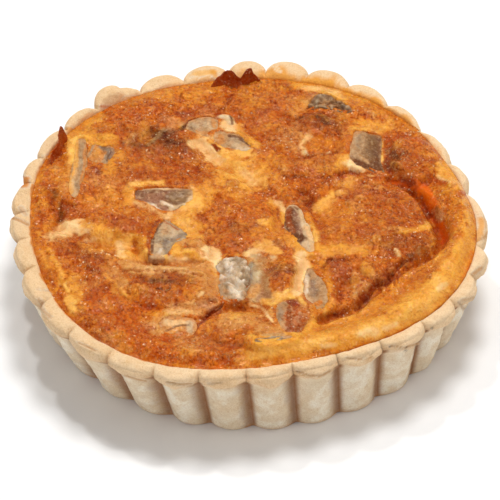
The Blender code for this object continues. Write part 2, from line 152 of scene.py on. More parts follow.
DOMES = (
    (41.0, 20.0, 9.5, 8.0, 70.0, 3.2, 0.6),
    (31.0, -7.0, 19.0, 14.0, 62.0, 1.6, 0.7),
    (10.0, -24.0, 9.5, 5.5, 80.0, 2.2, 0.8),
    (-1.0, -41.0, 10.0, 6.0, -4.0, 2.2, 0.7),
    (-19.0, -26.5, 13.0, 7.5, -8.0, 2.4, 0.8),
    (-29.0, -4.5, 11.0, 7.5, -10.0, 1.8, 0.7),
    (0.0, -4.0, 10.5, 9.0, 80.0, 1.7, 0.8),
    (-12.0, -12.5, 5.5, 3.6, -70.0, 1.6, 0.6),
    (-6.0, 13.0, 9.0, 6.0, 10.0, 1.2, 1.0),
    (16.5, 19.5, 9.0, 5.5, 8.0, 1.4, 0.7),
    (18.5, 34.5, 6.5, 4.5, -10.0, 1.6, 0.8),
    (0.0, 42.0, 13.0, 6.5, 0.0, 1.3, 1.0),
    (-28.0, 37.0, 14.0, 8.0, 35.0, 1.2, 1.0),
    (-20.0, 27.0, 8.0, 5.0, 20.0, 1.3, 1.0),
    (-27.0, 15.0, 8.0, 5.0, 0.0, 1.0, 1.0),
    (-40.0, -15.0, 7.0, 5.0, 60.0, 1.0, 1.0),
    (-32.0, -33.0, 9.0, 6.0, 40.0, 0.9, 1.0),
)
ROLLS = (
    (((53.0, 8.0), (53.5, -4.0), (51.0, -15.0), (46.5, -26.0), (39.0, -36.0), (29.0, -42.5),
      (17.0, -46.5), (5.0, -48.0)), 7.0, 2.5),
    (((45.0, 34.0), (51.0, 20.0), (53.0, 8.0)), 5.0, 1.2),
    (((5.0, -48.0), (-8.0, -50.5), (-20.0, -48.5), (-31.0, -42.0), (-40.0, -31.0),
      (-46.5, -18.0)), 5.0, 0.9),
)
FURROWS = (
    (((36.0, 14.5), (40.0, 11.5), (43.5, 7.0), (45.5, 2.0), (47.5, -3.0), (48.5, -7.5),
      (47.0, -12.5)), 2.6, 3.2),
    (((45.0, -15.0), (39.0, -18.0), (34.5, -22.5), (30.0, -27.5), (26.0, -33.0),
      (17.0, -37.5)), 2.4, 2.2),
    (((-12.0, 28.0), (-7.0, 21.0), (2.0, 13.0), (7.5, 6.0), (9.5, -5.0)), 3.6, 1.3),
    (((14.0, 9.0), (15.5, 3.5), (17.5, -3.0), (17.0, -12.0)), 2.6, 1.8),
    (((-46.0, -4.0), (-36.0, -10.0), (-27.0, -11.0), (-24.0, -16.5), (-14.0, -17.5)), 3.2, 1.3),
    (((-12.5, -42.0), (-9.5, -36.5), (-4.0, -33.0), (4.0, -33.5)), 2.2, 1.4),
    (((-49.0, 8.0), (-46.0, 1.0), (-45.5, -3.0)), 2.2, 1.2),
)

# Tones: colour as seen in soft light, crispness of the browning, wetness
TONES = {
    "orange": ((206, 110, 32), 0.85, 0.4),
    "amber": ((217, 130, 38), 0.55, 0.5),
    "sienna": ((202, 99, 20), 0.8, 0.4),
    "golden": ((231, 156, 58), 0.3, 0.4),
    "straw": ((240, 176, 84), 0.2, 0.4),
    "cream": ((240, 196, 138), 0.1, 0.3),
    "tan": ((212, 144, 78), 0.35, 0.3),
    "peach": ((216, 144, 84), 0.7, 0.5),
    "pink": ((206, 138, 96), 0.5, 0.6),
    "rust": ((184, 88, 24), 0.9, 0.5),
    "brown": ((152, 72, 24), 0.9, 0.5),
    "dark": ((92, 36, 14), 0.8, 0.6),
    "deep": ((216, 94, 4), 0.1, 0.5),
    # burnt brown, also laid as painted shadow along a crack
    "burnt_and_shadow": ((148, 52, 10), 0.6, 0.6),
    "beige": ((188, 148, 106), 0.3, 0.3),
    "grey": ((170, 148, 120), 0.3, 0.3),
    "olive": ((132, 98, 64), 0.3, 0.4),
    "pale": ((214, 186, 148), 0.15, 0.3),
    "white": ((238, 226, 206), 0.15, 0.3),
    "plum": ((146, 98, 76), 0.3, 0.5),
    "umber": ((104, 58, 32), 0.3, 0.6),
    "slate": ((136, 120, 106), 0.3, 0.4),
    "toffee": ((160, 60, 12), 0.4, 0.5),
    "rim": ((243, 209, 165), 0.0, 0.0),
    "lip": ((243, 208, 164), 0.0, 0.0),
    "wall": ((236, 214, 182), 0.0, 0.0),
    "chalk": ((252, 240, 218), 0.0, 0.0),
    "groove": ((156, 102, 58), 0.0, 0.0),
    "russet": ((128, 74, 40), 0.0, 0.0),
    "caramel": ((200, 146, 92), 0.0, 0.0),
    "char": ((72, 34, 22), 0.0, 0.0),
}

# Marks on the filling: tone, strength, half width, softness, rise, path on the plan
FILLING_MARKS = (
    # pale fringes around the mushrooms, under everything else
    ("cream", 0.9, 0.9, 1.2, 0.1, (
        (-27.5, 5.2), (-24, 3.2), (-21.6, 1.2), (-19.5, -0.4), (-16.8, 1.0))),
    ("cream", 0.9, 0.8, 1.0, 0.1, ((-15.4, 3.4), (-12.6, 4.4), (-12.4, 8.6), (-13.6, 10.6))),
    ("straw", 0.8, 0.7, 1.0, 0.0, ((-28.6, 9.6), (-27.6, 6.0))),
    ("cream", 0.9, 0.8, 1.0, 0.1, ((25.2, 23), (26.2, 20), (29.4, 17.4), (31.4, 15.8))),
    ("straw", 0.8, 0.7, 1.2, 0.1, ((27, 33.4), (31, 33.8), (35, 32))),
    ("straw", 0.8, 0.8, 1.0, 0.0, ((-7.8, -15), (-8.0, -19), (-7.4, -24))),
    ("straw", 0.9, 0.9, 1.2, 0.1, ((14.2, -17.6), (13.0, -24), (13.0, -29), (14.2, -34.6))),
    ("straw", 0.8, 0.8, 1.0, 0.0, ((20.4, -25), (20.8, -31), (18.8, -34.8))),
    ("straw", 0.9, 0.9, 1.2, 0.1, ((-8.8, 29), (-6.4, 25.8), (-4.2, 24.0), (-1.4, 23.2), (1.4, 24.4))),
    ("cream", 0.6, 0.8, 1.2, 0.1, ((-16, 34.6), (-13.6, 32.2), (-10.4, 30.0), (-7, 30.6))),
    ("straw", 0.8, 0.7, 1.0, 0.0, ((16.4, -3), (17.6, -8), (17.8, -13))),
    ("tan", 0.7, 0.9, 1.2, 0.0, ((-44.6, 9), (-44.4, 15), (-43.6, 21), (-43.2, 29))),
    ("beige", 0.5, 1.0, 1.4, 0.0, ((14.4, 41.4), (16, 45), (18.4, 47.8), (22, 47.6), (26, 44))),
    # back left
    ("sienna", 0.6, 5.0, 3.0, 0.0, ((-39, 36), (-30, 38), (-24, 42))),
    ("amber", 0.9, 2.8, 2.6, 0.0, ((-30, 45), (-23, 46.5), (-15, 48), (-8, 49))),
    ("rust", 0.5, 2.4, 2.4, 0.1, ((-39, 33), (-33, 32.5), (-27, 37))),
    ("golden", 0.9, 1.6, 1.4, 0.0, ((-43.8, 31.5), (-41, 34.5), (-37.5, 38.5))),
    ("golden", 0.9, 2.4, 1.6, 0.0, ((-43, 30), (-38.5, 30), (-35, 29))),
    ("straw", 0.9, 1.9, 1.4, 0.1, ((-43.0, 29), (-43.0, 25), (-43.4, 21))),
    ("brown", 0.85, 5.0, 4.0, 0.1, ((-26, 28.5), (-20, 29), (-17, 27))),
    ("dark", 0.85, 1.7, 1.6, -0.1, ((-23, 31), (-19.5, 31), (-18.5, 27.5))),
    ("dark", 0.9, 0.8, 0.7, -0.3, ((-28, 27.3), (-26.6, 27.0))),
    ("dark", 0.8, 0.7, 0.8, -0.2, ((-25, 27), (-23.5, 28.5), (-21.5, 31), (-20, 33))),
    ("pale", 0.7, 0.6, 0.6, 0.2, ((-28.8, 29.8), (-28.5, 31.2))),
    ("beige", 0.5, 0.7, 0.8, 0.1, ((-24.2, 27.6), (-22.5, 30.0), (-20.5, 33.5))),
    ("pink", 0.6, 1.5, 1.4, 0.2, ((-20, 38), (-17.5, 36.5), (-19, 33.5))),
    ("rust", 0.8, 1.4, 1.2, 0.0, ((-18, 40), (-14, 39.7), (-10.5, 41.5))),
    ("burnt_and_shadow", 0.7, 0.7, 0.8, -0.1, ((-17, 40.3), (-13.5, 39.8))),
    ("dark", 0.95, 0.6, 0.5, -0.6, ((-16.8, 33), (-15.2, 35.2), (-13.9, 36.6))),
    ("rust", 0.5, 1.5, 1.5, 0.0, ((-28, 43.5), (-24.5, 44.2))),
    ("burnt_and_shadow", 0.7, 0.7, 0.7, -0.2, ((-7.0, 37.5), (-6.8, 40.8), (-5.2, 43), (-4.0, 47))),
    ("pink", 0.5, 1.1, 1.2, 0.2, ((-11, 40), (-9.5, 39.2))),
    ("burnt_and_shadow", 0.7, 0.3, 0.4, -0.2, ((-16.2, 47.5), (-16.5, 44.5))),
    ("cream", 0.95, 1.5, 0.9, 0.0, ((-4.5, 35.2), (-2.2, 33.8))),
    ("golden", 0.9, 1.4, 1.2, 0.0, ((-1.2, 35), (0, 30), (2.5, 27.2))),
    ("pale", 0.95, 0.9, 0.6, 0.6, ((-6.2, 38.2), (-4.6, 37.8), (-4.0, 36.2))),
    ("umber", 0.9, 0.3, 0.3, -0.3, ((-4.1, 38.4), (-3.6, 35.6))),
    ("straw", 1.0, 2.5, 1.4, 0.0, ((-12, 27.5), (-9, 23.5), (-5.5, 22.0), (-2.0, 24.4))),
    ("cream", 1.0, 2.2, 1.0, 0.1, ((-12.6, 28.2), (-10.5, 26), (-8, 22.6), (-6.6, 20.9))),
    ("burnt_and_shadow", 1.0, 0.75, 0.4, -0.9, ((-8.0, 27.3), (-6.9, 25.5))),
    ("orange", 0.8, 1.3, 1.0, 0.1, ((-15.5, 31.8), (-12.8, 31.0))),
    ("rust", 0.55, 6.0, 4.0, 0.0, ((-26, 20), (-16, 19))),
    ("golden", 0.5, 1.8, 1.8, 0.2, ((-27, 19.5), (-24, 19.5))),
    ("rust", 0.5, 2.0, 2.0, 0.1, ((-12, 17.5), (-9, 15.5))),
    ("straw", 0.95, 1.2, 1.1, 0.2, ((-28.8, 12.4), (-25, 13.2), (-21, 12.2))),
    ("golden", 0.9, 1.6, 1.3, 0.1, ((-29.4, 10.5), (-28.8, 6))),
    ("orange", 0.8, 0.8, 0.8, 0.1, ((-23.5, 11.3), (-18, 11.2))),
    ("golden", 0.8, 3.0, 2.6, 0.0, ((-10.6, 9), (-12, 5.5), (-13.5, 2), (-15, -2.5))),
    ("straw", 0.9, 1.2, 1.2, 0.1, ((-12.4, 7.5), (-12.2, 4.5), (-15.0, 1.6))),
    ("golden", 0.85, 5.0, 4.0, 0.0, ((-3, 18.5), (-1.5, 12), (2.0, 17.0))),
    ("straw", 0.9, 2.4, 2.6, 0.1, ((-3.5, 18), (1.0, 14.5), (2.4, 11.0))),
    ("cream", 0.5, 1.2, 1.4, 0.1, ((0.5, 16.5), (2.2, 12))),
    ("amber", 0.9, 1.1, 1.0, 0.3, ((-3.4, 12.7), (-2.6, 12.4))),
    ("amber", 0.8, 1.2, 1.0, 0.2, ((-3.6, 17.2),)),
    ("peach", 0.55, 2.4, 2.2, 0.1, ((-37, 12.5), (-32, 13.5), (-35, 9))),
    ("burnt_and_shadow", 1.0, 0.9, 0.5, -0.6, ((-38.2, 18.2), (-36.8, 16.4))),
    ("golden", 0.6, 2.0, 1.6, 0.0, ((-32.3, 23), (-34.5, 17.5))),
    ("rust", 0.5, 2.0, 2.0, 0.1, ((-32, 16), (-30.5, 19))),
    ("orange", 0.9, 1.2, 1.0, 0.0, ((-39.2, 17), (-40.2, 11))),
    ("amber", 0.9, 1.3, 1.2, 0.0, ((-50.5, 19), (-52.3, 13), (-52.6, 8))),
    ("golden", 0.8, 0.7, 0.8, 0.1, ((-51.8, 15.5), (-52.8, 12))),
    ("orange", 0.9, 1.4, 1.2, 0.2, ((-46.0, 21), (-45.4, 14))),
    ("rust", 0.75, 2.2, 2.0, 0.0, ((-48.5, 11), (-46.5, 7), (-45, 3), (-45.5, -2))),
    ("umber", 0.8, 0.55, 0.6, -0.4, ((-47.3, 9.8), (-46.6, 7.9))),
    ("burnt_and_shadow", 0.85, 1.0, 1.0, -0.3, ((-45.6, 5), (-44.7, 2.5), (-45.4, -1.8))),
    ("dark", 0.6, 0.5, 0.6, -0.2, ((-46, 4.5), (-45.5, -2.5))),
    ("amber", 0.7, 3.0, 2.4, 0.2, ((-39, 5), (-33, 6.5))),
    ("beige", 0.5, 0.7, 0.8, 0.0, ((-48.3, 18.4), (-46.8, 18.6))),
    # back right
    ("rust", 0.3, 6.0, 4.0, 0.0, ((3, 47), (5, 39), (8, 32))),
    ("rust", 0.8, 1.1, 1.0, 0.1, ((4, 52), (8, 51.6), (11, 50.8))),
    ("burnt_and_shadow", 0.7, 0.7, 0.7, 0.0, ((10, 51.5), (11.4, 50.2))),
    ("golden", 1.0, 2.8, 2.2, 0.0, ((13.5, 53), (19, 50.5), (25, 47.5), (31, 43.8))),
    ("straw", 0.5, 1.4, 1.4, 0.1, ((18, 49.5), (24, 47.5))),
    ("amber", 0.85, 2.2, 2.0, 0.1, ((28, 43.5), (34, 40.5), (39, 37.5))),
    ("peach", 0.6, 0.7, 0.8, 0.3, ((31, 41.2), (32.4, 39.0))),
    ("golden", 0.9, 2.0, 1.8, 0.0, ((30, 35.8), (34, 34.6), (36.5, 34.4))),
    ("straw", 0.6, 0.7, 0.8, 0.2, ((35.3, 34.6), (36.8, 33.8))),
    ("brown", 0.7, 3.0, 2.4, 0.2, ((15.5, 37), (20, 37), (22.6, 35.2))),
    ("dark", 0.75, 1.1, 1.1, 0.0, ((18.8, 38.3), (20.2, 36.0))),
    ("dark", 0.8, 0.5, 0.5, -0.3, ((13.2, 37), (14.6, 38.2))),
    ("peach", 0.5, 2.4, 2.4, 0.1, ((11.5, 46), (12.8, 41.5))),
    ("sienna", 0.5, 2.0, 2.0, 0.1, ((7.6, 46), (9.5, 43))),
    ("golden", 0.5, 1.6, 1.6, 0.0, ((14, 45.5), (13.8, 41))),
    ("peach", 0.85, 2.8, 2.4, 0.2, ((12.8, 32), (12.5, 28), (9.5, 30.5))),
    ("cream", 0.8, 0.9, 0.8, 0.1, ((15.6, 30.2), (15, 27.5), (14.4, 24.5))),
    ("slate", 0.5, 0.5, 0.5, 0.0, ((15.8, 28.6), (15.1, 27))),
    ("rust", 0.7, 1.7, 1.6, 0.1, ((8, 34.5), (6.8, 30.5), (7.6, 27.2))),
    ("peach", 0.6, 1.0, 1.0, 0.2, ((24, 34), (24.4, 30))),
    ("rust", 0.6, 0.9, 0.9, -0.1, ((21.5, 34), (21.5, 29))),
    ("amber", 0.8, 2.6, 1.8, 0.1, ((18, 28), (22.5, 27))),
    ("pale", 0.8, 0.3, 0.35, 0.3, ((14.8, 25), (15.6, 23.4), (18, 23.4), (21.5, 24.3))),
    ("burnt_and_shadow", 0.5, 0.35, 0.4, -0.4, ((9.8, 22.2), (15.5, 22.3), (23, 24.4))),
    ("amber", 0.8, 3.0, 2.0, 0.1, ((11.5, 20), (17, 20), (22.5, 21))),
    ("tan", 0.4, 2.0, 2.0, 0.0, ((13, 17), (22, 22))),
    ("brown", 0.8, 0.6, 0.6, 0.0, ((20.2, 19), (20.2, 17.8))),
    ("orange", 0.6, 2.2, 2.0, 0.0, ((12, 16.5), (17, 15.5))),
    ("peach", 0.5, 0.5, 0.6, 0.3, ((9.8, 19.5), (9.2, 16), (8.8, 14))),
    ("cream", 1.0, 1.4, 0.9, 0.1, ((25.4, 21), (26.8, 18.6))),
    ("golden", 0.9, 1.3, 1.0, 0.1, ((24.6, 23), (23.8, 18.5))),
    ("straw", 1.0, 0.55, 0.3, 0.2, ((34.0, 28.6), (33.4, 25), (34.0, 21.6))),
    ("rust", 0.7, 6.0, 3.0, 0.0, ((39, 28), (43, 21), (40, 17))),
    # brown down the lump's steep left side, then a painted shadow at its foot beside the mushroom
    # piece
    ("brown", 0.8, 2.4, 2.0, -0.1, ((38, 25), (36.4, 20))),
    ("dark", 0.7, 0.9, 1.0, -0.3, ((35.6, 25.2), (37.4, 22.4), (36, 18.6))),
    ("orange", 0.9, 2.2, 2.0, 0.0, ((43.6, 31), (47.5, 24.5))),
    ("sienna", 0.6, 2.2, 2.0, 0.0, ((37, 31.5), (42, 28))),
    ("golden", 1.0, 2.4, 1.4, 0.2, ((50, 19), (52, 16), (53.4, 12.6))),
    ("straw", 0.9, 1.2, 1.0, 0.1, ((48.6, 18.4), (48.6, 15.6))),
    ("cream", 0.8, 0.4, 0.4, 0.1, ((48.0, 15.4), (48.8, 14.3), (50.6, 13.6))),
    ("rust", 1.0, 1.9, 1.4, 0.0, ((15, 11), (16, 7.5), (15.2, 5.5), (15.2, 3))),
    ("burnt_and_shadow", 0.85, 0.9, 0.9, -0.2, ((15.8, 6.4), (15.2, 4.2))),
    ("rust", 0.9, 0.9, 0.9, -0.1, ((17.5, 12.0), (21, 13.8), (25.5, 15.8), (31.5, 16.8))),
    ("golden", 0.95, 2.4, 2.0, 0.0, ((19, 2.5), (20, 6), (23, 10), (26.5, 12.5))),
    ("straw", 0.8, 1.2, 1.2, 0.1, ((18.0, 2.5), (19.6, 6.5), (22.5, 9.5))),
    ("amber", 0.7, 2.2, 2.0, 0.0, ((19, -0.5), (23.5, -2.5), (24.5, 4.5))),
    ("rust", 0.4, 9.0, 6.0, 0.0, ((34, 6), (33, -4))),
    ("burnt_and_shadow", 0.6, 0.9, 0.8, 0.0, ((36.3, -1.4), (37.6, -2.3))),
    ("burnt_and_shadow", 0.6, 0.8, 0.8, 0.0, ((43, -1), (44.2, -2.4))),
    ("peach", 0.5, 1.1, 1.0, 0.4, ((31, 12), (33.4, 11))),
    ("peach", 0.4, 1.0, 1.0, 0.3, ((26.4, 5.6), (29, 3))),
    ("amber", 0.8, 2.6, 2.0, 0.1, ((50.5, 10), (52.3, 2), (52.0, -8))),
    ("golden", 0.95, 1.6, 1.2, 0.0, ((55, 6), (56, -2), (54.6, -11))),
    ("orange", 0.5, 1.5, 1.5, 0.1, ((50.5, 8), (50.6, 0), (51.5, -6))),
    ("peach", 0.6, 0.6, 0.7, 0.2, ((52, 12.4), (54, 13.2))),
    # front left
    ("cream", 1.0, 2.2, 1.2, 0.1, ((-44.2, -4.2), (-41.5, -2.8), (-40.4, -4.6))),
    ("cream", 0.85, 1.8, 1.4, 0.1, ((-47.2, -7), (-44, -6.2))),
    ("cream", 0.9, 2.0, 1.5, 0.0, ((-38.8, -7.8), (-36, -9.2), (-34, -8.6))),
    ("golden", 0.9, 2.6, 2.4, 0.0, ((-37.5, -4.2), (-33.5, -10.4), (-30, -9))),
    ("orange", 0.7, 1.2, 1.0, 0.1, ((-47, -8.8), (-42, -8.2), (-39.5, -7.2))),
    ("rust", 0.45, 3.4, 3.0, 0.0, ((-30.5, -1.5), (-27, -2.5))),
    ("amber", 0.6, 2.4, 1.6, 0.1, ((-33, 2.4), (-27, 2.6), (-23, 0.4))),
    ("straw", 0.95, 1.6, 1.2, 0.1, ((-29.6, -8), (-29.2, -14), (-26.5, -16))),
    ("cream", 0.8, 0.9, 0.8, 0.1, ((-30.4, -9), (-30, -14), (-27.8, -15.4))),
    ("golden", 0.95, 2.2, 1.8, 0.1, ((-26.2, -9), (-26.2, -15))),
    ("amber", 0.8, 0.6, 0.5, -0.1, ((-27.4, -8), (-27.3, -13))),
    ("amber", 0.7, 0.5, 0.5, 0.0, ((-25.0, -10), (-25.2, -14))),
    ("straw", 0.8, 1.4, 1.2, 0.1, ((-24.8, -13.5), (-25.2, -17))),
    # a painted shadow line along the crack here
    ("burnt_and_shadow", 0.9, 0.35, 0.35, -0.5, ((-23.7, -14.4), (-24.0, -10), (-23.2, -6), (-21.4, -1.4))),
    ("cream", 1.0, 2.0, 0.6, 0.5, ((-22.4, -16.4), (-18, -16.4), (-13.6, -16), (-10.4, -15.6))),
    ("straw", 0.9, 0.6, 0.6, 0.1, ((-19.4, -14.7), (-19.6, -17.4))),
    ("golden", 1.0, 1.6, 1.0, 0.1, ((-17.3, -11), (-16.6, -13.2), (-13, -13.6), (-11, -17.2))),
    ("straw", 0.6, 0.8, 0.8, 0.1, ((-16.8, -12.4), (-13.5, -12.4))),
    ("tan", 0.9, 1.4, 0.9, 0.3, ((-16.4, -9.2), (-13, -9.0), (-10.2, -10), (-9.2, -13.2))),
    ("peach", 0.8, 0.8, 0.7, 0.1, ((-13.8, -11.6), (-11.2, -12), (-10.4, -15))),
    ("burnt_and_shadow", 0.6, 0.35, 0.3, -0.4, ((-14.8, -9.8), (-13.9, -11.4))),
    ("rust", 0.7, 0.4, 0.4, -0.4, ((-11.0, -8.4), (-9.0, -9.6), (-8.3, -12.6), (-8.4, -15))),
    ("straw", 1.0, 0.7, 0.6, 0.2, ((-14.2, -6.9), (-11, -7.4), (-9.2, -8.9))),
    ("golden", 0.85, 2.4, 2.0, 0.0, ((-14.8, -1), (-12, -3.6), (-13, -6))),
    ("straw", 0.8, 1.2, 1.2, 0.1, ((-15.6, -0.5), (-13, -4.6))),
    ("orange", 0.8, 2.0, 2.0, 0.0, ((-8, -1), (-9, -5), (-8, -9))),
    ("burnt_and_shadow", 0.5, 0.5, 0.6, 0.0, ((-8, -4.3), (-7.2, -5))),
    ("cream", 1.0, 1.8, 0.8, 0.0, ((-8.0, -12.6), (-7.4, -17))),
    ("golden", 1.0, 1.2, 1.0, 0.1, ((-9.2, -18.6), (-8.2, -22), (-7.2, -25.4))),
    ("tan", 1.0, 2.2, 1.2, 0.2, ((-28, -18.7), (-22, -19), (-16, -18.3), (-11.5, -20), (-8.8, -24))),
    ("brown", 0.75, 2.0, 1.8, 0.0, ((-24.5, -22.6), (-19, -22.8), (-13.2, -22.6))),
    ("rust", 0.7, 2.6, 2.0, 0.1, ((-27, -25.5), (-18, -26.5))),
    ("dark", 0.7, 0.7, 0.8, -0.1, ((-22.6, -23.2), (-17.4, -23.6))),
    ("dark", 0.8, 0.4, 0.4, -0.3, ((-21.6, -26.2), (-20.5, -26.6))),
    ("dark", 0.7, 0.35, 0.3, -0.3, ((-19, -27), (-18, -26))),
    ("peach", 0.9, 1.3, 1.2, 0.1, ((-11, -22.5), (-9.4, -26), (-11, -28.6))),
    ("cream", 0.9, 0.5, 0.5, 0.2, ((-11.2, -28.6), (-10.4, -27.6))),
    ("tan", 0.8, 1.6, 1.4, 0.1, ((-32.6, -19), (-31, -23), (-30, -27))),
    ("golden", 0.7, 0.7, 0.7, 0.1, ((-34, -21.5), (-31.5, -26), (-28.4, -29.4))),
    ("straw", 0.8, 0.35, 0.35, 0.2, ((-30, -26), (-28.2, -29.6))),
    ("rust", 0.7, 3.0, 2.4, 0.1, ((-43, -11.5), (-38, -14), (-36, -17.5))),
    ("brown", 0.5, 1.5, 1.5, 0.0, ((-40, -13), (-35, -15.5))),
    ("burnt_and_shadow", 0.7, 0.6, 0.6, -0.3, ((-42.5, -10), (-40.6, -10.6))),
    ("burnt_and_shadow", 0.7, 0.5, 0.5, -0.3, ((-43.6, -14), (-43.2, -12.6))),
    ("cream", 0.9, 0.4, 0.3, 0.4, ((-34.9, -12.6),)),
    ("cream", 0.9, 0.35, 0.3, 0.4, ((-40.8, -15.9),)),
    ("peach", 0.5, 1.3, 1.3, 0.1, ((-31.6, -14), (-33, -16.4))),
    ("peach", 0.5, 1.6, 1.4, 0.1, ((-32, -18.4), (-36.8, -25))),
    ("rust", 0.7, 1.5, 1.4, 0.0, ((-37.4, -17), (-35.3, -21.6), (-33.5, -27))),
    ("amber", 0.9, 2.6, 2.2, 0.0, ((-50, -12), (-47, -20), (-44, -27))),
    ("golden", 0.8, 0.7, 0.6, 0.1, ((-48, -12), (-45, -18), (-44.2, -24))),
    ("golden", 0.8, 0.5, 0.5, 0.1, ((-49.8, -13), (-47.6, -18.4))),
    ("straw", 0.9, 0.45, 0.4, 0.2, ((-43.3, -24.6), (-42.5, -27.6))),
    ("golden", 0.9, 1.5, 1.4, 0.0, ((-41, -22), (-40, -28))),
    ("straw", 1.0, 1.9, 1.3, 0.1, ((-42, -31), (-40.4, -34.6))),
    ("golden", 0.95, 1.3, 1.0, 0.0, ((-39.5, -29.6), (-38, -36.6))),
    ("amber", 0.9, 0.25, 0.25, -0.2, ((-40.4, -33.0), (-38.9, -34.0))),
    ("sienna", 0.85, 7.0, 4.0, 0.0, ((-33, -34), (-26, -36), (-21, -46))),
    ("rust", 0.5, 2.6, 2.5, 0.1, ((-36, -37), (-33, -40))),
    ("peach", 0.65, 1.3, 1.2, 0.2, ((-35, -41), (-31.5, -45), (-28.5, -47.5))),
    ("peach", 0.5, 0.8, 0.8, 0.2, ((-24, -38), (-22, -40))),
    ("burnt_and_shadow", 0.95, 0.45, 0.4, 0.0, ((-42.4, -36.2), (-37.4, -41.3), (-31.4, -47), (-27, -50))),
    ("burnt_and_shadow", 0.8, 0.45, 0.4, 0.0, ((-27, -50), (-22.5, -52), (-18, -54.5))),
    ("rust", 0.9, 0.5, 0.4, 0.0, ((-53.3, -5), (-52, -12), (-49.6, -19), (-45.8, -25.6))),
    ("sienna", 0.9, 0.7, 0.6, 0.0, ((-44.8, -28), (-44.4, -31), (-43.2, -34.6))),
    ("peach", 1.0, 2.7, 1.4, 0.1, ((-16, -33.4), (-12, -32.6), (-8.6, -31.6))),
    ("pink", 0.8, 0.9, 0.9, 0.2, ((-10.4, -31.2), (-8, -33))),
    ("plum", 0.5, 0.8, 0.9, 0.0, ((-9.4, -30.6), (-7.4, -30))),
    ("burnt_and_shadow", 1.0, 0.5, 0.5, -0.5, ((-11.8, -42), (-11, -38.5), (-8.6, -35), (-6, -33.2))),
    ("tan", 0.8, 1.8, 1.6, 0.0, ((-20.5, -40.5), (-19, -37.4))),
    ("golden", 0.5, 1.4, 1.4, 0.0, ((-23, -34.6), (-19.5, -34.4))),
    ("sienna", 1.0, 2.2, 1.8, 0.0, ((-25, -49.4), (-16, -51.6), (-6, -51.6))),
    ("golden", 0.8, 0.7, 0.7, 0.1, ((-16, -53), (-12, -54.2))),
    ("deep", 0.8, 0.7, 0.6, 0.0, ((-20, -52.4), (-12, -55.6), (-5, -54))),
    ("tan", 0.6, 2.4, 2.2, 0.0, ((-14.5, -45), (-7, -45.4))),
    ("rust", 0.6, 1.1, 1.0, 0.2, ((-10.2, -46.4), (-8.8, -46.8))),
    ("brown", 0.7, 0.9, 0.9, 0.0, ((-6.2, -45.6), (-5.0, -45.2))),
    ("deep", 1.0, 0.6, 0.4, 0.1, ((-3.9, -42.3), (-3.2, -42.2))),
    # front right
    ("brown", 0.6, 1.7, 1.8, 0.0, ((-3.2, -4), (0, -5), (3, -4.6))),
    ("golden", 0.95, 1.5, 1.2, 0.3, ((4.4, -1.6), (6.2, -1.4))),
    ("golden", 0.8, 1.6, 1.4, 0.0, ((7, -4.4), (9.6, -7.6), (11.4, -10))),
    ("amber", 0.9, 2.0, 1.6, 0.0, ((3.5, -6), (7, -7.4))),
    ("golden", 0.9, 1.4, 1.2, 0.0, ((6.8, 6), (8.6, 2.5), (8.8, -1.5))),
    ("cream", 0.8, 0.9, 0.9, 0.0, ((8.2, 5.6), (9.4, 2.6))),
    ("rust", 0.8, 0.3, 0.35, -0.3, ((7.8, 3), (8.2, -0.6), (9.4, -4.4))),
    ("rust", 0.7, 0.9, 0.9, 0.1, ((-1.2, -13), (0.6, -12.4))),
    ("rust", 0.5, 2.0, 2.0, 0.0, ((-5, -10), (-2, -9))),
    ("cream", 0.95, 1.8, 1.2, 0.1, ((1.8, -13.2), (6.2, -11.6))),
    ("straw", 0.9, 1.2, 1.0, 0.0, ((2, -10.6), (7.4, -13.6), (5, -9.6))),
    ("pink", 0.95, 0.75, 0.5, 0.7, ((8.0, -9.0), (8.8, -11.6))),
    ("beige", 0.9, 3.2, 1.8, 0.0, ((3.2, -18), (4.4, -24), (4, -28.6))),
    ("grey", 0.6, 1.5, 1.4, 0.2, ((2.4, -18.4), (2.6, -24))),
    ("plum", 0.8, 1.1, 0.9, 0.2, ((5.3, -27.4), (4.4, -30.4))),
    ("slate", 0.7, 0.6, 0.6, -0.3, ((1.5, -17), (1.0, -21), (0.9, -25.4))),
    ("pale", 0.7, 0.9, 0.9, 0.2, ((6.4, -15.2), (7, -17.6))),
    ("pale", 0.6, 0.7, 0.7, 0.3, ((3.6, -20.4), (2.8, -22.6))),
    ("tan", 0.8, 1.0, 0.9, 0.1, ((3.2, -25.4), (2.2, -29))),
    ("brown", 0.85, 0.9, 0.8, 0.1, ((-2.6, -31.6), (0, -30.6))),
    ("orange", 1.0, 3.2, 2.2, 0.0, ((8, -19), (9.6, -24), (12, -21))),
    ("brown", 1.0, 1.9, 1.5, 0.0, ((6.8, -19.8), (10.6, -19.8))),
    ("rust", 0.7, 1.3, 1.3, 0.1, ((7.2, -22.6), (8.4, -25))),
    ("straw", 1.0, 1.7, 1.3, 0.1, ((13.4, -13.4), (14, -18), (13, -24), (11, -28.4))),
    ("golden", 1.0, 1.1, 0.9, 0.0, ((13.8, -11.8), (16.8, -16.4))),
    ("cream", 1.0, 1.3, 0.8, 0.1, ((13.8, -14.6), (14.0, -18), (13.2, -23), (12.4, -28))),
    ("straw", 0.9, 1.4, 1.1, 0.0, ((7.4, -28.6), (8.6, -29.4), (6, -31.6))),
    ("amber", 1.0, 1.6, 1.2, 0.1, ((17.2, -13), (18, -16.4), (20.6, -22), (20.8, -28), (20, -32))),
    ("rust", 0.9, 2.1, 1.5, 0.1, ((21, -16.6), (23.4, -20), (23, -28.5))),
    ("brown", 0.7, 0.5, 0.5, -0.2, ((18.8, -19), (20.2, -15.8), (24, -15.2))),
    ("orange", 0.8, 1.0, 0.9, 0.2, ((22, -22), (22, -27))),
    ("golden", 0.85, 2.0, 1.8, 0.0, ((18.5, -11.8), (23, -11.4), (28.5, -12.4))),
    ("golden", 1.0, 1.1, 0.7, 0.5, ((29.2, -18.6), (29.8, -21.2))),
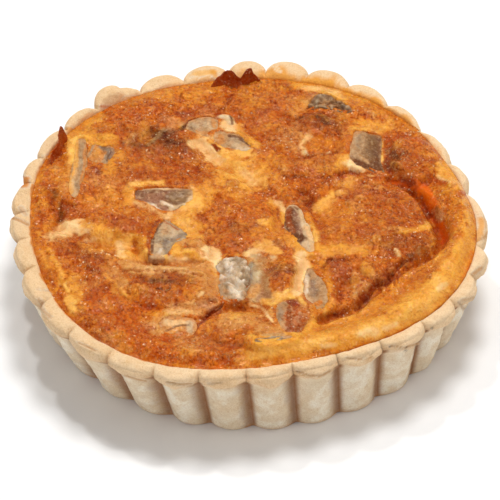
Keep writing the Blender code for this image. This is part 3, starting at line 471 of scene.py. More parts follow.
    ("peach", 0.9, 1.1, 0.8, 0.4, ((27.2, -21.8), (26.0, -25.2))),
    ("golden", 0.8, 0.8, 0.7, 0.3, ((26.2, -22.6), (26.0, -24.6))),
    ("peach", 1.0, 0.7, 0.5, 0.5, ((31.8, -22.8),)),
    ("pink", 0.9, 0.7, 0.5, 0.4, ((33.4, -23.2),)),
    ("peach", 0.9, 1.0, 0.8, 0.2, ((29.4, -24.8), (27.4, -26.6), (26.6, -29.6))),
    ("peach", 0.7, 0.5, 0.5, 0.3, ((32.8, -26.2),)),
    ("golden", 1.0, 1.1, 0.5, 0.3, ((32.1, -7.9),)),
    ("cream", 0.8, 0.35, 0.3, -0.2, ((32.1, -7.9),)),
    ("brown", 0.6, 3.2, 2.6, 0.0, ((36, -9.6), (43, -9.4))),
    ("brown", 0.8, 1.4, 1.2, -0.1, ((40.4, -14.4), (38.6, -17.2))),
    ("dark", 0.7, 0.7, 0.7, -0.2, ((40.4, -13.6), (39.4, -14.6))),
    ("cream", 0.95, 0.5, 0.4, 0.3, ((36.7, -12.4), (37.3, -14.6))),
    ("peach", 1.0, 1.0, 0.6, 0.6, ((42.4, -11.6), (43.4, -14))),
    ("cream", 0.9, 0.35, 0.4, 0.2, ((42.1, -11.4), (42.2, -14.4))),
    ("golden", 0.85, 1.2, 1.0, 0.3, ((38.4, -5.4), (44, -3.6), (46.2, -2.4))),
    ("peach", 0.7, 0.8, 0.8, 0.2, ((34, -4.4), (38, -5))),
    ("dark", 0.95, 0.4, 0.4, -0.7, ((38.6, -17.4), (36.4, -20), (34, -23), (30.6, -27.5))),
    ("dark", 0.95, 0.5, 0.5, -0.7, ((30.6, -27.5), (28.2, -32.2), (26.8, -33.8))),
    ("burnt_and_shadow", 0.85, 1.4, 1.2, -0.1, ((36.2, -19), (31, -26), (27.8, -32.5))),
    ("golden", 0.9, 0.25, 0.25, 0.3, ((32, -26.6), (30.4, -28.8))),
    ("brown", 0.8, 0.25, 0.25, -0.4, ((35.5, -21.6), (35.6, -25))),
    ("burnt_and_shadow", 0.9, 1.3, 1.1, -0.1, ((21.6, -35.6), (26.4, -34.4))),
    ("rust", 0.9, 0.8, 0.7, 0.0, ((26, -36), (27, -38))),
    ("brown", 0.8, 0.9, 0.9, -0.1, ((14, -38.2), (17, -37), (20.4, -35.4))),
    ("golden", 1.0, 6.0, 3.6, 0.0, (
        (51.5, -13), (46, -24.6), (38.6, -34), (27, -41), (15, -44.6), (4, -48))),
    ("straw", 0.75, 2.2, 2.2, 0.0, ((48, -24), (44, -31), (38, -37), (28, -42))),
    ("straw", 0.75, 1.5, 1.5, 0.0, ((18, -45), (8, -48), (2, -50))),
    ("amber", 0.75, 2.8, 2.6, 0.0, ((43, -18.5), (38.5, -24), (33, -30))),
    ("amber", 0.8, 0.8, 0.8, 0.0, (
        (50.6, -29), (44.6, -36.8), (34, -43.6), (22, -48.2), (10, -51.2), (0, -52.2))),
    ("amber", 0.6, 1.3, 1.3, 0.0, ((18, -41), (26, -38), (33, -33.5))),
    ("tan", 0.9, 1.6, 2.2, 0.3, ((-27.5, -19.2), (-20, -19.6), (-14, -19), (-10, -20.2))),
    ("cream", 0.35, 1.2, 1.8, 0.1, ((-26, -19), (-20, -19.4), (-14, -18.8))),
    ("tan", 0.9, 1.9, 1.4, 0.4, ((-10, -19.6), (-8.2, -23), (-8.0, -27))),
    ("cream", 0.3, 1.8, 2.0, 0.1, ((-16, -33.2), (-11, -32.2))),
    ("rust", 0.45, 3.4, 3.4, 0.0, ((13, 19.4), (20, 21))),
    ("rust", 0.35, 3.6, 3.6, 0.0, ((0, 44), (7, 44))),
    ("cream", 0.5, 1.2, 1.8, 0.0, ((16, 50.6), (24, 49.4))),
    ("cream", 0.5, 1.0, 1.2, 0.0, ((12.6, -16), (12.8, -20))),
    ("deep", 1.0, 1.8, 0.8, 0.0, ((37.5, 13), (41.5, 11.8), (44.4, 9), (45.2, 4.5))),
    ("deep", 1.0, 1.4, 0.6, 0.0, ((45.2, 6), (45.2, 2.5), (46.4, -1), (47.6, -4.5), (48.4, -8))),
    ("burnt_and_shadow", 0.8, 1.1, 1.0, 0.0, ((38.5, 14), (40.5, 12.2))),
    ("burnt_and_shadow", 0.7, 0.5, 0.5, -0.3, ((43.6, 7.4), (44.0, 3.4), (45.2, -0.6))),
    ("pink", 1.0, 1.2, 0.5, 0.9, ((47.3, 2.9), (47.6, 1.2), (47.0, -0.9))),
    ("cream", 0.7, 1.2, 1.3, 0.1, ((27.5, -42), (31, -41))),
    ("cream", 0.6, 0.8, 0.8, 0.1, ((46.5, -26), (48, -24.5))),
    ("cream", 0.6, 0.8, 0.8, 0.1, ((36, -38.6), (33.4, -40.8))),
    ("cream", 0.6, 0.9, 0.9, 0.1, ((18.5, -46.6), (20.6, -46))),
    ("orange", 0.5, 1.6, 1.8, 0.0, ((41.5, -23), (46, -16.5), (50.5, -8))),
    ("deep", 0.6, 0.4, 0.4, 0.0, ((54.9, -13), (54.0, -18.4), (52.6, -22.6))),
    ("tan", 0.9, 3.4, 2.6, 0.0, ((-4, -38.6), (0, -36.5), (4, -37.5))),
    ("golden", 0.6, 1.4, 1.3, 0.0, ((-2, -35), (2.4, -34.4))),
    ("rust", 0.75, 1.2, 1.0, 0.1, ((3.8, -37.2), (6.2, -38.6))),
    ("cream", 0.95, 0.45, 0.4, 0.1, ((1, -32.2), (3.6, -33), (5.4, -35.4), (6.8, -37.6))),
    ("tan", 0.8, 1.8, 1.5, 0.0, ((4.4, -41), (8, -41.2))),
    ("brown", 0.7, 0.7, 0.7, 0.1, ((3, -42.3), (3.8, -41.6))),
    ("beige", 0.7, 0.6, 0.6, 0.1, ((4.6, -42.6), (9, -42))),
    ("sienna", 0.5, 2.4, 2.4, 0.0, ((-8, -48), (0, -46.6))),
)

# Mushroom pieces: the slab in the solid (x, y, height, half thickness, turn, lean, roll), how much
# its top is roughened, outline on the plan, ground tone, marks
MUSHROOMS = {
    "mushroom_slab_left": (
        (-20.5, 6.0, 22.0, 1.5, -3.0, 24.0, 2.0), 0.10,
        ((-27.8, 9.6), (-24, 10.4), (-18, 10.4), (-13.3, 10.2), (-13.0, 7.5), (-13.2, 5.0),
         (-15.5, 4.0), (-17.2, 1.6), (-19.5, 0.4), (-21.8, 1.8), (-24, 3.8), (-27.2, 5.6)),
        "pale",
        (("plum", 1.0, 1.9, 0.8, 0.0, ((-26.2, 8.7), (-21, 8.4), (-17, 8.2))),
         ("plum", 1.0, 1.6, 0.8, 0.0, ((-25, 6.6), (-20.5, 6.0), (-20.6, 3.4))),
         ("umber", 0.7, 0.7, 0.8, 0.0, ((-27.4, 9.4), (-22, 9.8), (-13.8, 9.9))),
         ("umber", 0.6, 0.9, 0.9, 0.0, ((-26.8, 8.8), (-25.6, 7.6))),
         ("olive", 1.0, 1.8, 0.7, 0.0, ((-18, 8), (-15.2, 8.2), (-15.8, 6.4), (-18.2, 5.4))),
         ("umber", 0.6, 0.6, 0.5, 0.0, ((-19.4, 7), (-18.6, 4.8), (-16, 5))),
         ("pale", 1.0, 0.7, 0.5, 0.1, ((-20.2, 4.8), (-17.5, 3.0), (-14, 4.5), (-13.4, 7.0))),
         ("white", 0.8, 0.4, 0.4, 0.1, ((-20.6, 5.6), (-19.6, 4.4), (-18.2, 3.4))),
         ("white", 0.7, 0.35, 0.4, 0.1, ((-23, 4.6), (-22.4, 3.2), (-20.8, 2.2))),
         ("umber", 0.8, 0.5, 0.4, -0.2, ((-16.6, 2.4), (-15.4, 3.6))))),
    "mushroom_grey_left": (
        (-19.6, -8.0, 22.0, 1.6, 104.0, 14.0, 6.0), 0.16,
        ((-20, -0.6), (-18, -2.5), (-15.5, -5.0), (-13.5, -7.3), (-15.5, -8.6), (-17.6, -10.2),
         (-18.7, -12.5), (-19.2, -14.4), (-22.9, -14.6), (-23.4, -11), (-22.5, -6.5), (-21.2, -2.5)),
        "grey",
        (("pale", 0.7, 2.0, 2.0, 0.0, ((-20, -4), (-17, -8))),
         ("pale", 0.9, 1.2, 0.9, 0.1, ((-21.4, -11), (-20.8, -14))),
         ("beige", 0.8, 1.0, 1.0, 0.0, ((-20, -2.6), (-19.4, -6))),
         ("slate", 0.8, 0.9, 0.8, 0.0, ((-19, -9.5), (-16.5, -7.6), (-14.6, -6.8))),
         ("slate", 0.7, 0.4, 0.4, -0.1, ((-19.6, -8.6), (-19.4, -11.4))),
         ("umber", 0.9, 0.5, 0.4, 0.0, ((-23.0, -13), (-22.7, -7), (-20.6, -1.6))),
         ("rust", 0.7, 0.3, 0.3, 0.0, ((-20.4, -1.4), (-18.2, -3.4), (-16.6, -4.8))),
         ("white", 0.7, 0.4, 0.4, 0.1, ((-20.4, -12), (-21.2, -13.6))))),
    "mushroom_oval_middle": (
        (12.2, -3.4, 21.8, 1.6, 98.0, -16.0, 3.0), 0.05,
        ((10.2, 4.2), (12, 4.8), (13.6, 3), (14.4, 0), (15.7, -4), (16.6, -8), (17, -12.5),
         (15.5, -13.0), (13.2, -10), (11, -6.5), (9.4, -4), (9.6, 1)),
        "pale",
        (("umber", 1.0, 1.7, 0.7, 0.0, ((11.5, 2.9), (11.0, -1), (11.9, -5), (13.2, -8.2))),
         ("plum", 0.7, 0.8, 0.7, 0.0, ((12.3, 3), (12.9, -2), (13.6, -6))),
         ("pale", 0.6, 0.25, 0.3, 0.1, ((11.6, 4), (13.0, 1.8))),
         ("umber", 0.5, 0.4, 0.5, -0.1, ((13.8, -8.4), (13.4, -10.4))),
         ("brown", 0.8, 0.8, 0.6, 0.0, ((10.8, 2.4), (10.6, -1.4), (11.8, -5.4))),
         ("cream", 0.6, 0.8, 0.7, 0.1, ((15.2, -4), (16.2, -8), (16.4, -12))))),
    "mushroom_large_back_right": (
        (29.8, 23.6, 23.3, 2.0, 82.0, 18.0, 4.0), 0.08,
        ((27.2, 32.6), (30, 32.8), (31.5, 31.4), (34.3, 31.2), (34.6, 28), (33.9, 24), (34.0, 20),
         (34.8, 17), (34, 16), (32.5, 16.5), (30, 18.3), (27, 20.3), (25.8, 23), (26.3, 27)),
        "beige",
        (("umber", 0.9, 1.7, 1.0, 0.0, ((33, 30.5), (32.4, 26), (31.8, 22), (32.6, 18))),
         ("olive", 0.8, 1.2, 1.0, 0.0, ((31.4, 31), (31.0, 26), (30.6, 22.5))),
         ("olive", 0.6, 0.9, 0.9, 0.0, ((32.6, 28.6), (32.4, 26))),
         ("umber", 1.0, 1.1, 0.8, 0.0, ((27.6, 20.6), (30, 19.2), (33.2, 17.2))),
         ("umber", 0.5, 0.8, 0.9, 0.0, ((26.8, 22), (28.4, 21))),
         ("grey", 0.5, 1.0, 1.0, 0.0, ((28.4, 31), (28, 26))),
         ("slate", 0.6, 0.5, 0.5, 0.0, ((33.2, 16.9), (34.2, 16.4))))),
    "mushroom_gills_back": (
        (20.8, 41.0, 23.1, 1.9, -24.0, 20.0, 0.0), 0.42,
        ((15.0, 41.0), (16.3, 44.3), (18, 47.0), (21, 47.2), (23.5, 45), (25.5, 43), (27.6, 40.8),
         (25, 39.6), (22, 41.2), (20, 42.2), (18, 41.6), (16, 40.8)),
        "olive",
        (("grey", 0.8, 1.3, 1.1, 0.1, ((18, 45.4), (21, 45.6), (18, 43.6))),
         ("tan", 0.6, 1.0, 1.0, 0.0, ((19.5, 43.4), (22, 42.4))),
         ("umber", 0.9, 0.5, 0.5, -0.5, ((15.5, 41.6), (16.6, 42.4))),
         ("umber", 0.9, 0.45, 0.4, -0.5, ((23.6, 45), (23.9, 44.2))),
         ("umber", 0.9, 0.5, 0.4, -0.5, ((22.4, 40.9), (22.8, 42))),
         ("umber", 0.8, 0.4, 0.4, -0.4, ((24.3, 42.6), (25, 41.4))),
         ("slate", 0.8, 0.8, 0.7, 0.0, ((25, 43), (27, 41.2))),
         ("pale", 0.9, 0.3, 0.3, 0.3, ((16.6, 43.4), (17.6, 42.4))),
         ("pale", 0.8, 0.3, 0.3, 0.3, ((24.4, 40.6), (26.2, 42.6))),
         ("beige", 0.8, 0.3, 0.3, 0.2, ((20.5, 42.6), (22.4, 44.8))))),
    "mushroom_beige_back_left": (
        (-10.8, 33.0, 22.9, 1.5, 8.0, 16.0, 0.0), 0.12,
        ((-15.4, 35.0), (-14, 36.5), (-11, 38), (-8.2, 37.8), (-7.3, 36.5), (-7, 34), (-7.3, 31.5),
         (-9, 30.5), (-12, 31.6), (-13.7, 33.0)),
        "beige",
        (("grey", 0.7, 0.9, 0.9, 0.0, ((-14.2, 35.8), (-13, 34))),
         ("pale", 0.5, 1.0, 1.0, 0.1, ((-10, 35.6), (-9, 33))),
         ("tan", 0.8, 0.7, 0.7, 0.0, ((-8.6, 37), (-8, 34.4))),
         ("umber", 0.6, 0.3, 0.4, -0.1, ((-14.6, 34.6), (-13.2, 33.2))),
         ("tan", 0.7, 0.6, 0.6, 0.0, ((-8.6, 31.4), (-12, 32.2))))),
    "mushroom_long_back": (
        (-2.2, 27.0, 22.8, 1.5, -42.0, 20.0, 3.0), 0.12,
        ((-7.8, 32.2), (-5.5, 32.5), (-4.3, 31.5), (-2.5, 31.4), (-0.1, 29.5), (1.8, 26.5),
         (0.5, 25), (-2, 24.4), (-4.5, 25), (-6.2, 27), (-8, 29.5)),
        "beige",
        (("pale", 0.6, 1.2, 1.0, 0.1, ((-2, 27.0), (0.3, 25.6))),
         ("white", 0.4, 0.5, 0.5, 0.1, ((-1, 25.2), (0.8, 25.8))),
         ("umber", 1.0, 0.55, 0.35, -0.2, ((-4.2, 31.2), (-1.5, 30.2), (1.3, 27.2))),
         ("tan", 0.9, 1.1, 0.9, 0.0, ((-7, 31.2), (-6, 28.6))),
         ("grey", 0.6, 0.8, 0.8, 0.0, ((-3.6, 30), (-1.4, 28.4))))),
    "mushroom_strip_left": (
        (-41.6, 17.5, 22.5, 1.5, 86.0, 16.0, 1.0), 0.06,
        ((-42.0, 30), (-40.2, 29.5), (-40.0, 24), (-40.2, 18), (-40.8, 12), (-41.6, 7.4),
         (-42.8, 7.0), (-44.2, 10), (-43.8, 15), (-43.0, 20), (-42.8, 25), (-42.8, 28.5)),
        "beige",
        (("straw", 0.9, 0.6, 0.6, 0.1, ((-43.4, 8.6), (-43.2, 13), (-42.6, 21), (-42.6, 29))),
         ("pale", 0.5, 0.4, 0.5, 0.1, ((-42.9, 10), (-42.4, 18))),
         ("grey", 0.6, 0.5, 0.6, 0.0, ((-41.2, 28), (-41.0, 20), (-41.6, 11))),
         ("tan", 0.8, 0.35, 0.4, 0.0, ((-40.4, 26), (-40.4, 19), (-41.0, 12))),
         ("pale", 0.5, 0.4, 0.4, 0.0, ((-42, 8), (-42.4, 10))))),
    "mushroom_blue_left": (
        (-34.6, 22.4, 22.5, 1.3, 76.0, -12.0, 0.0), 0.12,
        ((-39.3, 25), (-38.3, 28), (-36.3, 27.2), (-33.6, 27.0), (-32.7, 24.5), (-33.8, 21.5),
         (-34.8, 18.6), (-36.5, 19.0), (-38.7, 20.2), (-39.7, 22.5)),
        "tan",
        (("slate", 0.9, 1.0, 0.9, 0.0, ((-36, 26.2), (-33.8, 25.2), (-34.3, 22))),
         ("plum", 0.5, 0.6, 0.6, 0.0, ((-33.4, 25.4), (-33.6, 23.6))),
         ("grey", 0.8, 0.6, 0.6, 0.0, ((-35.2, 21), (-35.5, 18.8))),
         ("golden", 0.6, 0.9, 0.9, 0.1, ((-37.8, 23), (-37, 25))),
         ("grey", 0.8, 0.35, 0.35, 0.0, ((-39.4, 23), (-38.3, 27.2))),
         ("umber", 0.6, 0.2, 0.25, -0.2, ((-34, 24.4), (-34.6, 21.4))))),
    "mushroom_crumbly_front": (
        (-3.4, -23.2, 22.4, 2.0, 94.0, 4.0, 0.0), 0.55,
        ((-6.4, -16), (-3.5, -14.8), (0, -15.2), (1.0, -18), (1.3, -23), (1, -27), (0, -29.5),
         (-3, -31.0), (-5.8, -29.5), (-6.8, -26), (-6.4, -21), (-7.4, -18.5)),
        "grey",
        (("tan", 0.8, 1.6, 1.6, 0.0, ((-6, -28.4), (-3, -30.6), (-0.4, -29))),
         ("white", 1.0, 1.5, 1.1, 0.3, ((-4, -17.6), (-2.8, -19.4), (-4.6, -22))),
         ("white", 1.0, 1.5, 1.1, 0.3, ((-1.8, -24.8), (-2.6, -28.6))),
         ("pale", 0.9, 1.0, 0.9, 0.2, ((-0.8, -20), (-1.6, -22))),
         ("beige", 0.8, 1.0, 1.0, 0.0, ((-5.8, -26), (-5.4, -29))),
         ("beige", 0.9, 0.5, 0.6, -0.3, ((-4.4, -22.4), (-3.0, -23.2), (-3.4, -25.6))),
         ("grey", 1.0, 0.5, 0.6, -0.4, ((-0.4, -17.6), (-0.6, -20.2), (0.4, -22.6), (0.5, -27.4))),
         ("tan", 0.6, 0.7, 0.7, -0.1, ((-5.6, -20.8), (-5.4, -23))))),
    "mushroom_pale_front_right": (
        (17.0, -28.2, 22.0, 1.6, 96.0, -22.0, 0.0), 0.10,
        ((15, -18.3), (16.5, -19.3), (18, -22.3), (19.5, -26), (19.9, -30), (18.6, -33.5),
         (16.5, -35), (14.8, -33), (13.8, -29), (13.8, -25), (14.2, -21.5)),
        "beige",
        (("pale", 0.8, 0.7, 0.8, 0.0, ((14.8, -21), (14.4, -29), (16.6, -34))),
         ("slate", 0.7, 1.1, 1.2, 0.0, ((16.4, -24), (16.6, -28))),
         ("plum", 0.4, 0.6, 0.8, 0.0, ((16.2, -25), (16.6, -27.4))),
         ("beige", 0.8, 1.0, 1.0, 0.0, ((18.4, -29), (17.6, -33))),
         ("white", 0.6, 0.5, 0.5, 0.1, ((14.8, -22), (14.6, -28))),
         ("umber", 0.7, 0.2, 0.2, 0.0, ((15.3, -21.2), (15.8, -22))),
         ("umber", 0.6, 0.15, 0.2, 0.0, ((18.2, -24.4), (18.6, -25))),
         ("amber", 0.95, 0.8, 0.5, 0.1, ((16.8, -31.5), (17.8, -30.9))))),
    "mushroom_brown_front": (
        (11.2, -37.8, 22.9, 2.2, 112.0, 10.0, 0.0), 0.14,
        ((9.8, -29.9), (12, -29.8), (13.2, -31.5), (14.8, -33), (15.7, -36), (14.8, -38.5),
         (13.2, -41), (12, -42.5), (10, -42.5), (8.5, -39.8), (7.2, -37), (7.2, -34), (8.1, -31.5)),
        "tan",
        (("beige", 0.95, 1.3, 0.9, 0.0, ((9.2, -32), (8.3, -35.6), (9.2, -38.6))),
         ("slate", 0.5, 0.6, 0.7, 0.0, ((8.4, -33.6), (8.6, -37))),
         ("burnt_and_shadow", 1.0, 1.0, 0.6, -0.2, ((10.9, -30.7), (11.9, -32))),
         ("rust", 1.0, 2.2, 1.2, 0.2, ((11.4, -34.8), (11.8, -40))),
         ("brown", 0.8, 0.5, 0.5, -0.3, ((10.2, -34), (10.6, -37.4), (9.8, -41))),
         ("pink", 0.6, 0.7, 0.7, 0.1, ((11.4, -37.4), (11.8, -38.8))),
         ("orange", 0.95, 1.1, 0.9, 0.0, ((13.8, -34.2), (14.6, -36.2))),
         ("burnt_and_shadow", 0.9, 0.6, 0.5, -0.2, ((10, -42.2), (12.4, -42))),
         ("brown", 0.8, 0.7, 0.7, 0.0, ((13.6, -38.6), (12.6, -40.6))))),
    "mushroom_pale_front_left": (
        (-15.6, -39.6, 22.5, 1.6, -34.0, 16.0, 0.0), 0.14,
        ((-20.2, -36.5), (-18, -36), (-14.5, -36.6), (-12.2, -37.2), (-11.5, -39), (-11.8, -41.5),
         (-14, -43.3), (-17, -43.4), (-19.6, -42), (-21, -39.3)),
        "tan",
        (("cream", 1.0, 1.2, 0.9, 0.1, ((-18.5, -37.8), (-15.5, -37.9))),
         ("pale", 0.9, 0.8, 0.6, 0.1, ((-13.2, -38.3), (-13.0, -41))),
         ("cream", 0.8, 0.5, 0.5, 0.1, ((-20, -40.6), (-19.6, -42))),
         ("golden", 0.8, 1.0, 0.9, 0.0, ((-15.5, -40.4), (-16.6, -41.4))),
         ("orange", 0.95, 1.2, 0.9, 0.2, ((-16, -42.6), (-14.8, -42))),
         ("umber", 0.6, 0.25, 0.25, -0.2, ((-18.6, -41), (-16.6, -39.4), (-13.6, -38.9))))),
    "mushroom_edge_front": (
        (6.8, -45.8, 22.8, 1.3, 6.0, -14.0, 2.0), 0.06,
        ((1.9, -43.6), (2.0, -45.0), (5, -44.8), (8, -44.2), (11.5, -43.2), (12.2, -42.5),
         (9, -42.9), (5.5, -43.4)),
        "grey",
        (("slate", 0.7, 0.4, 0.4, 0.0, ((2.4, -44.4), (6, -44.2), (9, -43.6))),
         ("tan", 0.6, 0.3, 0.3, 0.0, ((9, -43.4), (12, -42.7))))),
}
SLAB_FLATNESS = 0.28          # below 1 the top of a piece is flat and its sides steep
SLAB_BED = 0.9                # how far the filling dips below the top of a piece that lies in it
SLAB_NEST = 2.8               # how far around a piece the filling leads up to it
SLAB_TUCK = 0.8               # how far a piece runs under the filling around it
SLAB_TILT = 0.55              # share of the solid's tilt that the cut face shows
PROUD = {                     # how far the face of a piece stands above the filling
    "mushroom_brown_front": 1.1, "mushroom_crumbly_front": 0.6, "mushroom_gills_back": 0.5,
    "mushroom_beige_back_left": 0.5, "mushroom_long_back": 0.5, "mushroom_large_back_right": 0.5,
    "mushroom_strip_left": 0.6, "mushroom_pale_front_left": 0.5,
}
LEAST_PROUD = 0.25
STEWED = (0.90, 0.82, 0.76)   # how far the pieces' tones deepen in the oven

# Marks on the pastry, on the same plan
PASTRY_MARKS = (
    ("caramel", 0.8, 0.3, 0.5, -0.22, ((-39.6, -45.0), (-37.4, -46.6), (-35.4, -47.8))),
    ("caramel", 0.8, 0.3, 0.5, -0.22, ((-28.2, -56.6), (-25.6, -57.8), (-23.4, -58.4))),
    ("caramel", 0.8, 0.35, 0.5, -0.3, ((-18.2, -58.8), (-15.6, -59.6), (-12.6, -59.4))),
    ("caramel", 0.7, 0.3, 0.5, -0.22, ((-8.6, -59.4), (-5.6, -59.0))),
    ("caramel", 0.8, 0.3, 0.4, -0.2, ((12.2, -55.2), (15.0, -56.6), (18.2, -56.4), (20, -54.8))),
    ("caramel", 0.8, 0.3, 0.4, -0.2, ((24.0, -50.4), (27.0, -51.2), (30.0, -50.4))),
    ("caramel", 0.8, 0.3, 0.4, -0.2, ((34.4, -46.0), (37.4, -47.2), (41.0, -45.6))),
    ("caramel", 0.6, 0.5, 0.6, -0.1, ((-49.5, -30), (-48.8, -31.5), (-49, -33), (-46.6, -36.4))),
    ("caramel", 0.5, 0.3, 0.4, -0.2, ((-50, -26.6), (-46.6, -27))),
    ("caramel", 0.9, 0.5, 0.5, -0.35, ((-58.6, 0.4), (-56, -0.8), (-53.6, -2.6))),
    ("caramel", 0.6, 0.6, 0.7, 0.0, ((-55.4, 3.4), (-54.4, 1.0))),
    ("char", 0.95, 0.28, 0.25, -0.1, ((38.0, -47.1),)),
    ("char", 0.7, 0.3, 0.3, 0.0, ((38.0, -48.0),)),
    ("char", 0.7, 0.22, 0.25, 0.0, ((34.1, -46.4),)),
    ("char", 0.8, 0.3, 0.3, -0.1, ((44.3, -40.2),)),
    ("char", 0.5, 0.15, 0.2, 0.0, ((20, -53),)),
    ("char", 0.9, 0.35, 0.4, 0.0, ((56.0, 15.2), (55.8, 13.8))),
    ("caramel", 0.9, 0.5, 0.6, -0.1, ((56.2, -9.2), (58.4, -8.0), (59.7, -6.2))),
    ("caramel", 0.8, 0.6, 0.7, -0.1, ((55.4, -20.8), (56.8, -18.8))),
    ("groove", 0.7, 0.3, 0.4, -0.2, ((51.0, -31.0), (52.2, -33.6))),
    ("caramel", 0.5, 0.6, 0.8, 0.0, ((52.0, -30.4), (55.0, -29.6))),
    ("straw", 0.8, 1.2, 1.4, 0.0, ((-12.6, 55.6), (-8.6, 56.4))),
    ("golden", 0.8, 0.8, 1.0, 0.0, ((-8.4, 56.6), (-7.8, 54.6))),
    ("straw", 0.6, 0.6, 0.9, 0.0, ((7.4, 59.4), (8.6, 56.6))),
    ("golden", 0.8, 1.0, 1.2, 0.0, ((-44.8, 33.8), (-43.6, 32.0))),
    ("orange", 0.8, 0.6, 0.8, 0.0, ((-36.6, 42.6), (-34.6, 42.4))),
    ("golden", 0.7, 0.8, 1.0, 0.0, ((-30.4, 45.8), (-28.2, 45.8))),
    ("golden", 0.7, 0.8, 1.2, 0.0, ((-50.4, 21.2), (-49.6, 22.8))),
    ("golden", 0.8, 0.9, 1.4, 0.0, ((58.0, -0.6), (57.8, -4.6), (56.8, -8))),
    ("umber", 0.9, 0.35, 0.35, 0.0, ((-55.6, 16.4), (-55.7, 11.4))),
    ("amber", 0.9, 0.9, 1.0, 0.0, ((-54.6, 14.6), (-54.8, 12.0))),
)

# Crisp flakes, as in the solid: base line, bottom, lean, thickness, raggedness of the upper edge,
# the upper edge (share, height), seed
FLAKES = {
    "crisp_flake_left": (
        (-48.2, 19.2), (-44.6, 28.8), 20.2, 0.25, 0.6, 0.06,
        ((0.0, 1.4), (0.04, 2.4), (0.12, 2.7), (0.3, 3.2), (0.5, 3.9), (0.7, 4.6), (0.84, 5.2),
         (0.92, 5.9), (0.96, 5.4), (1.0, 3.0)), 21),
    "crisp_flake_back": (
        (-9.2, 50.2), (4.4, 51.0), 20.0, 0.2, 0.6, 0.16,
        ((0.0, 0.5), (0.04, 1.4), (0.11, 2.7), (0.2, 3.9), (0.28, 4.9), (0.33, 5.5), (0.41, 5.6),
         (0.46, 4.9), (0.51, 4.1), (0.58, 3.2), (0.65, 4.6), (0.7, 5.6), (0.79, 5.7), (0.83, 4.2),
         (0.9, 3.0), (0.97, 1.8), (1.0, 0.9)), 22),
}


# Shared sums

def eased(value):
    """Smooth step from 0 to 1 over the range 0 to 1."""
    value = np.clip(value, 0.0, 1.0)
    return value * value * (3.0 - 2.0 * value)


def waves(bearing, rows):
    return sum(size * np.cos(np.radians(count * (bearing - crest))) for count, size, crest in rows)


def bearing_of_flute(place):
    even = 360.0 * place / FLUTES
    grooves, shifts = zip(*GROOVE_SHIFTS)
    return even + FIRST_GROOVE + waves(even, FLUTE_DRIFT) + np.interp(place, grooves, shifts)


def local_rise(bearing, feature):
    away = (bearing - feature[0] + 180.0) % 360.0 - 180.0
    return np.sqrt(np.clip(1.0 - (away / feature[1]) ** 2, 0.0, None))


def filling_radius(bearing):
    wanted = FILLING_RADIUS + waves(bearing, FILLING_WAVES)
    limit = RIM_RADIUS + waves(bearing, RIM_WAVES) - LIP_DEPTH - WALL_AT_GROOVE
    return np.minimum(wanted, limit)


def rim_centre():
    bearings = np.arange(0.0, 360.0, 0.5)
    reach = RIM_RADIUS + waves(bearings, RIM_WAVES)
    x, y = reach * np.sin(np.radians(bearings)), reach * np.cos(np.radians(bearings))
    return (x.min() + x.max()) / 2, (y.min() + y.max()) / 2


CENTRE = np.array((*rim_centre(), 0.0))


def speck(ix, iy, iz, seed):
    """A fixed random value from -1 to 1 for each cell of a lattice."""
    n = ix * 374761393 + iy * 668265263 + iz * 1274126177 + seed * 974634777
    n = (n ^ (n >> 13)) * 1103515245
    n = n ^ (n >> 16)
    return (n & 0xFFFF) / 32767.5 - 1.0


def lumps(x, y, z, size, seed):
    """Soft lumps of about the given size in mm, from -1 to 1."""
    cells = [np.floor(np.asarray(v) / size).astype(np.int64) for v in (x, y, z)]
    shares = [eased(np.asarray(v) / size - cell) for v, cell in zip((x, y, z), cells)]
    total = 0.0
    for corner in range(8):
        steps = (corner & 1, corner >> 1 & 1, corner >> 2 & 1)
        weight = 1.0
        for step, share in zip(steps, shares):
            weight = weight * (share if step else 1.0 - share)
        total = total + weight * speck(*(c + s for c, s in zip(cells, steps)), seed)
    return total


def rough(x, y, z, size, seed, layers=3):
    """Lumps with ever finer lumps on them."""
    return sum(lumps(x, y, z, size / 2 ** i, seed + i) / 2 ** i for i in range(layers))


def pores(x, y, size, seed):
    """Distance to the nearest of scattered points, counted in their mean spacing."""
    cell_x, cell_y = np.floor(x / size).astype(np.int64), np.floor(y / size).astype(np.int64)
    nearest = np.full(np.shape(x), 9.0)
    for step_x in (-1, 0, 1):
        for step_y in (-1, 0, 1):
            ix, iy = cell_x + step_x, cell_y + step_y
            px = ix + 0.5 + 0.45 * speck(ix, iy, 0 * ix, seed)
            py = iy + 0.5 + 0.45 * speck(ix, iy, 0 * ix, seed + 1)
            nearest = np.minimum(nearest, np.hypot(x / size - px, y / size - py))
    return nearest


def distance_to_path(x, y, path):
    if len(path) == 1:
        return np.hypot(x - path[0][0], y - path[0][1])
    nearest = np.full(np.shape(x), 1e9)
    for (ax, ay), (bx, by) in zip(path, path[1:]):
        run_x, run_y = bx - ax, by - ay
        share = ((x - ax) * run_x + (y - ay) * run_y) / (run_x * run_x + run_y * run_y)
        share = np.clip(share, 0.0, 1.0)
        nearest = np.minimum(nearest, np.hypot(x - ax - share * run_x, y - ay - share * run_y))
    return nearest


# The plan and the marks laid on it

def camera_spot():
    slope = math.radians(CAMERA_SLOPE)
    up = np.array((0.0, math.sin(slope), math.cos(slope)))
    back = np.array((0.0, -math.cos(slope), math.sin(slope)))
    aim = np.array((AIM_RIGHT, 0.0, AIM_HEIGHT)) + up * AIM_UP
    return aim, aim + back * CAMERA_DISTANCE


CAMERA_AIM, CAMERA_PLACE = camera_spot()


def on_plan(spots):
    """Carries points in mm along the camera's slope onto the flat plan."""
    runs = spots - CAMERA_PLACE
    share = (PLAN_LEVEL - CAMERA_PLACE[2]) / runs[:, 2]
    flat = CAMERA_PLACE + runs * share[:, None]
    return flat[:, 0], flat[:, 1]


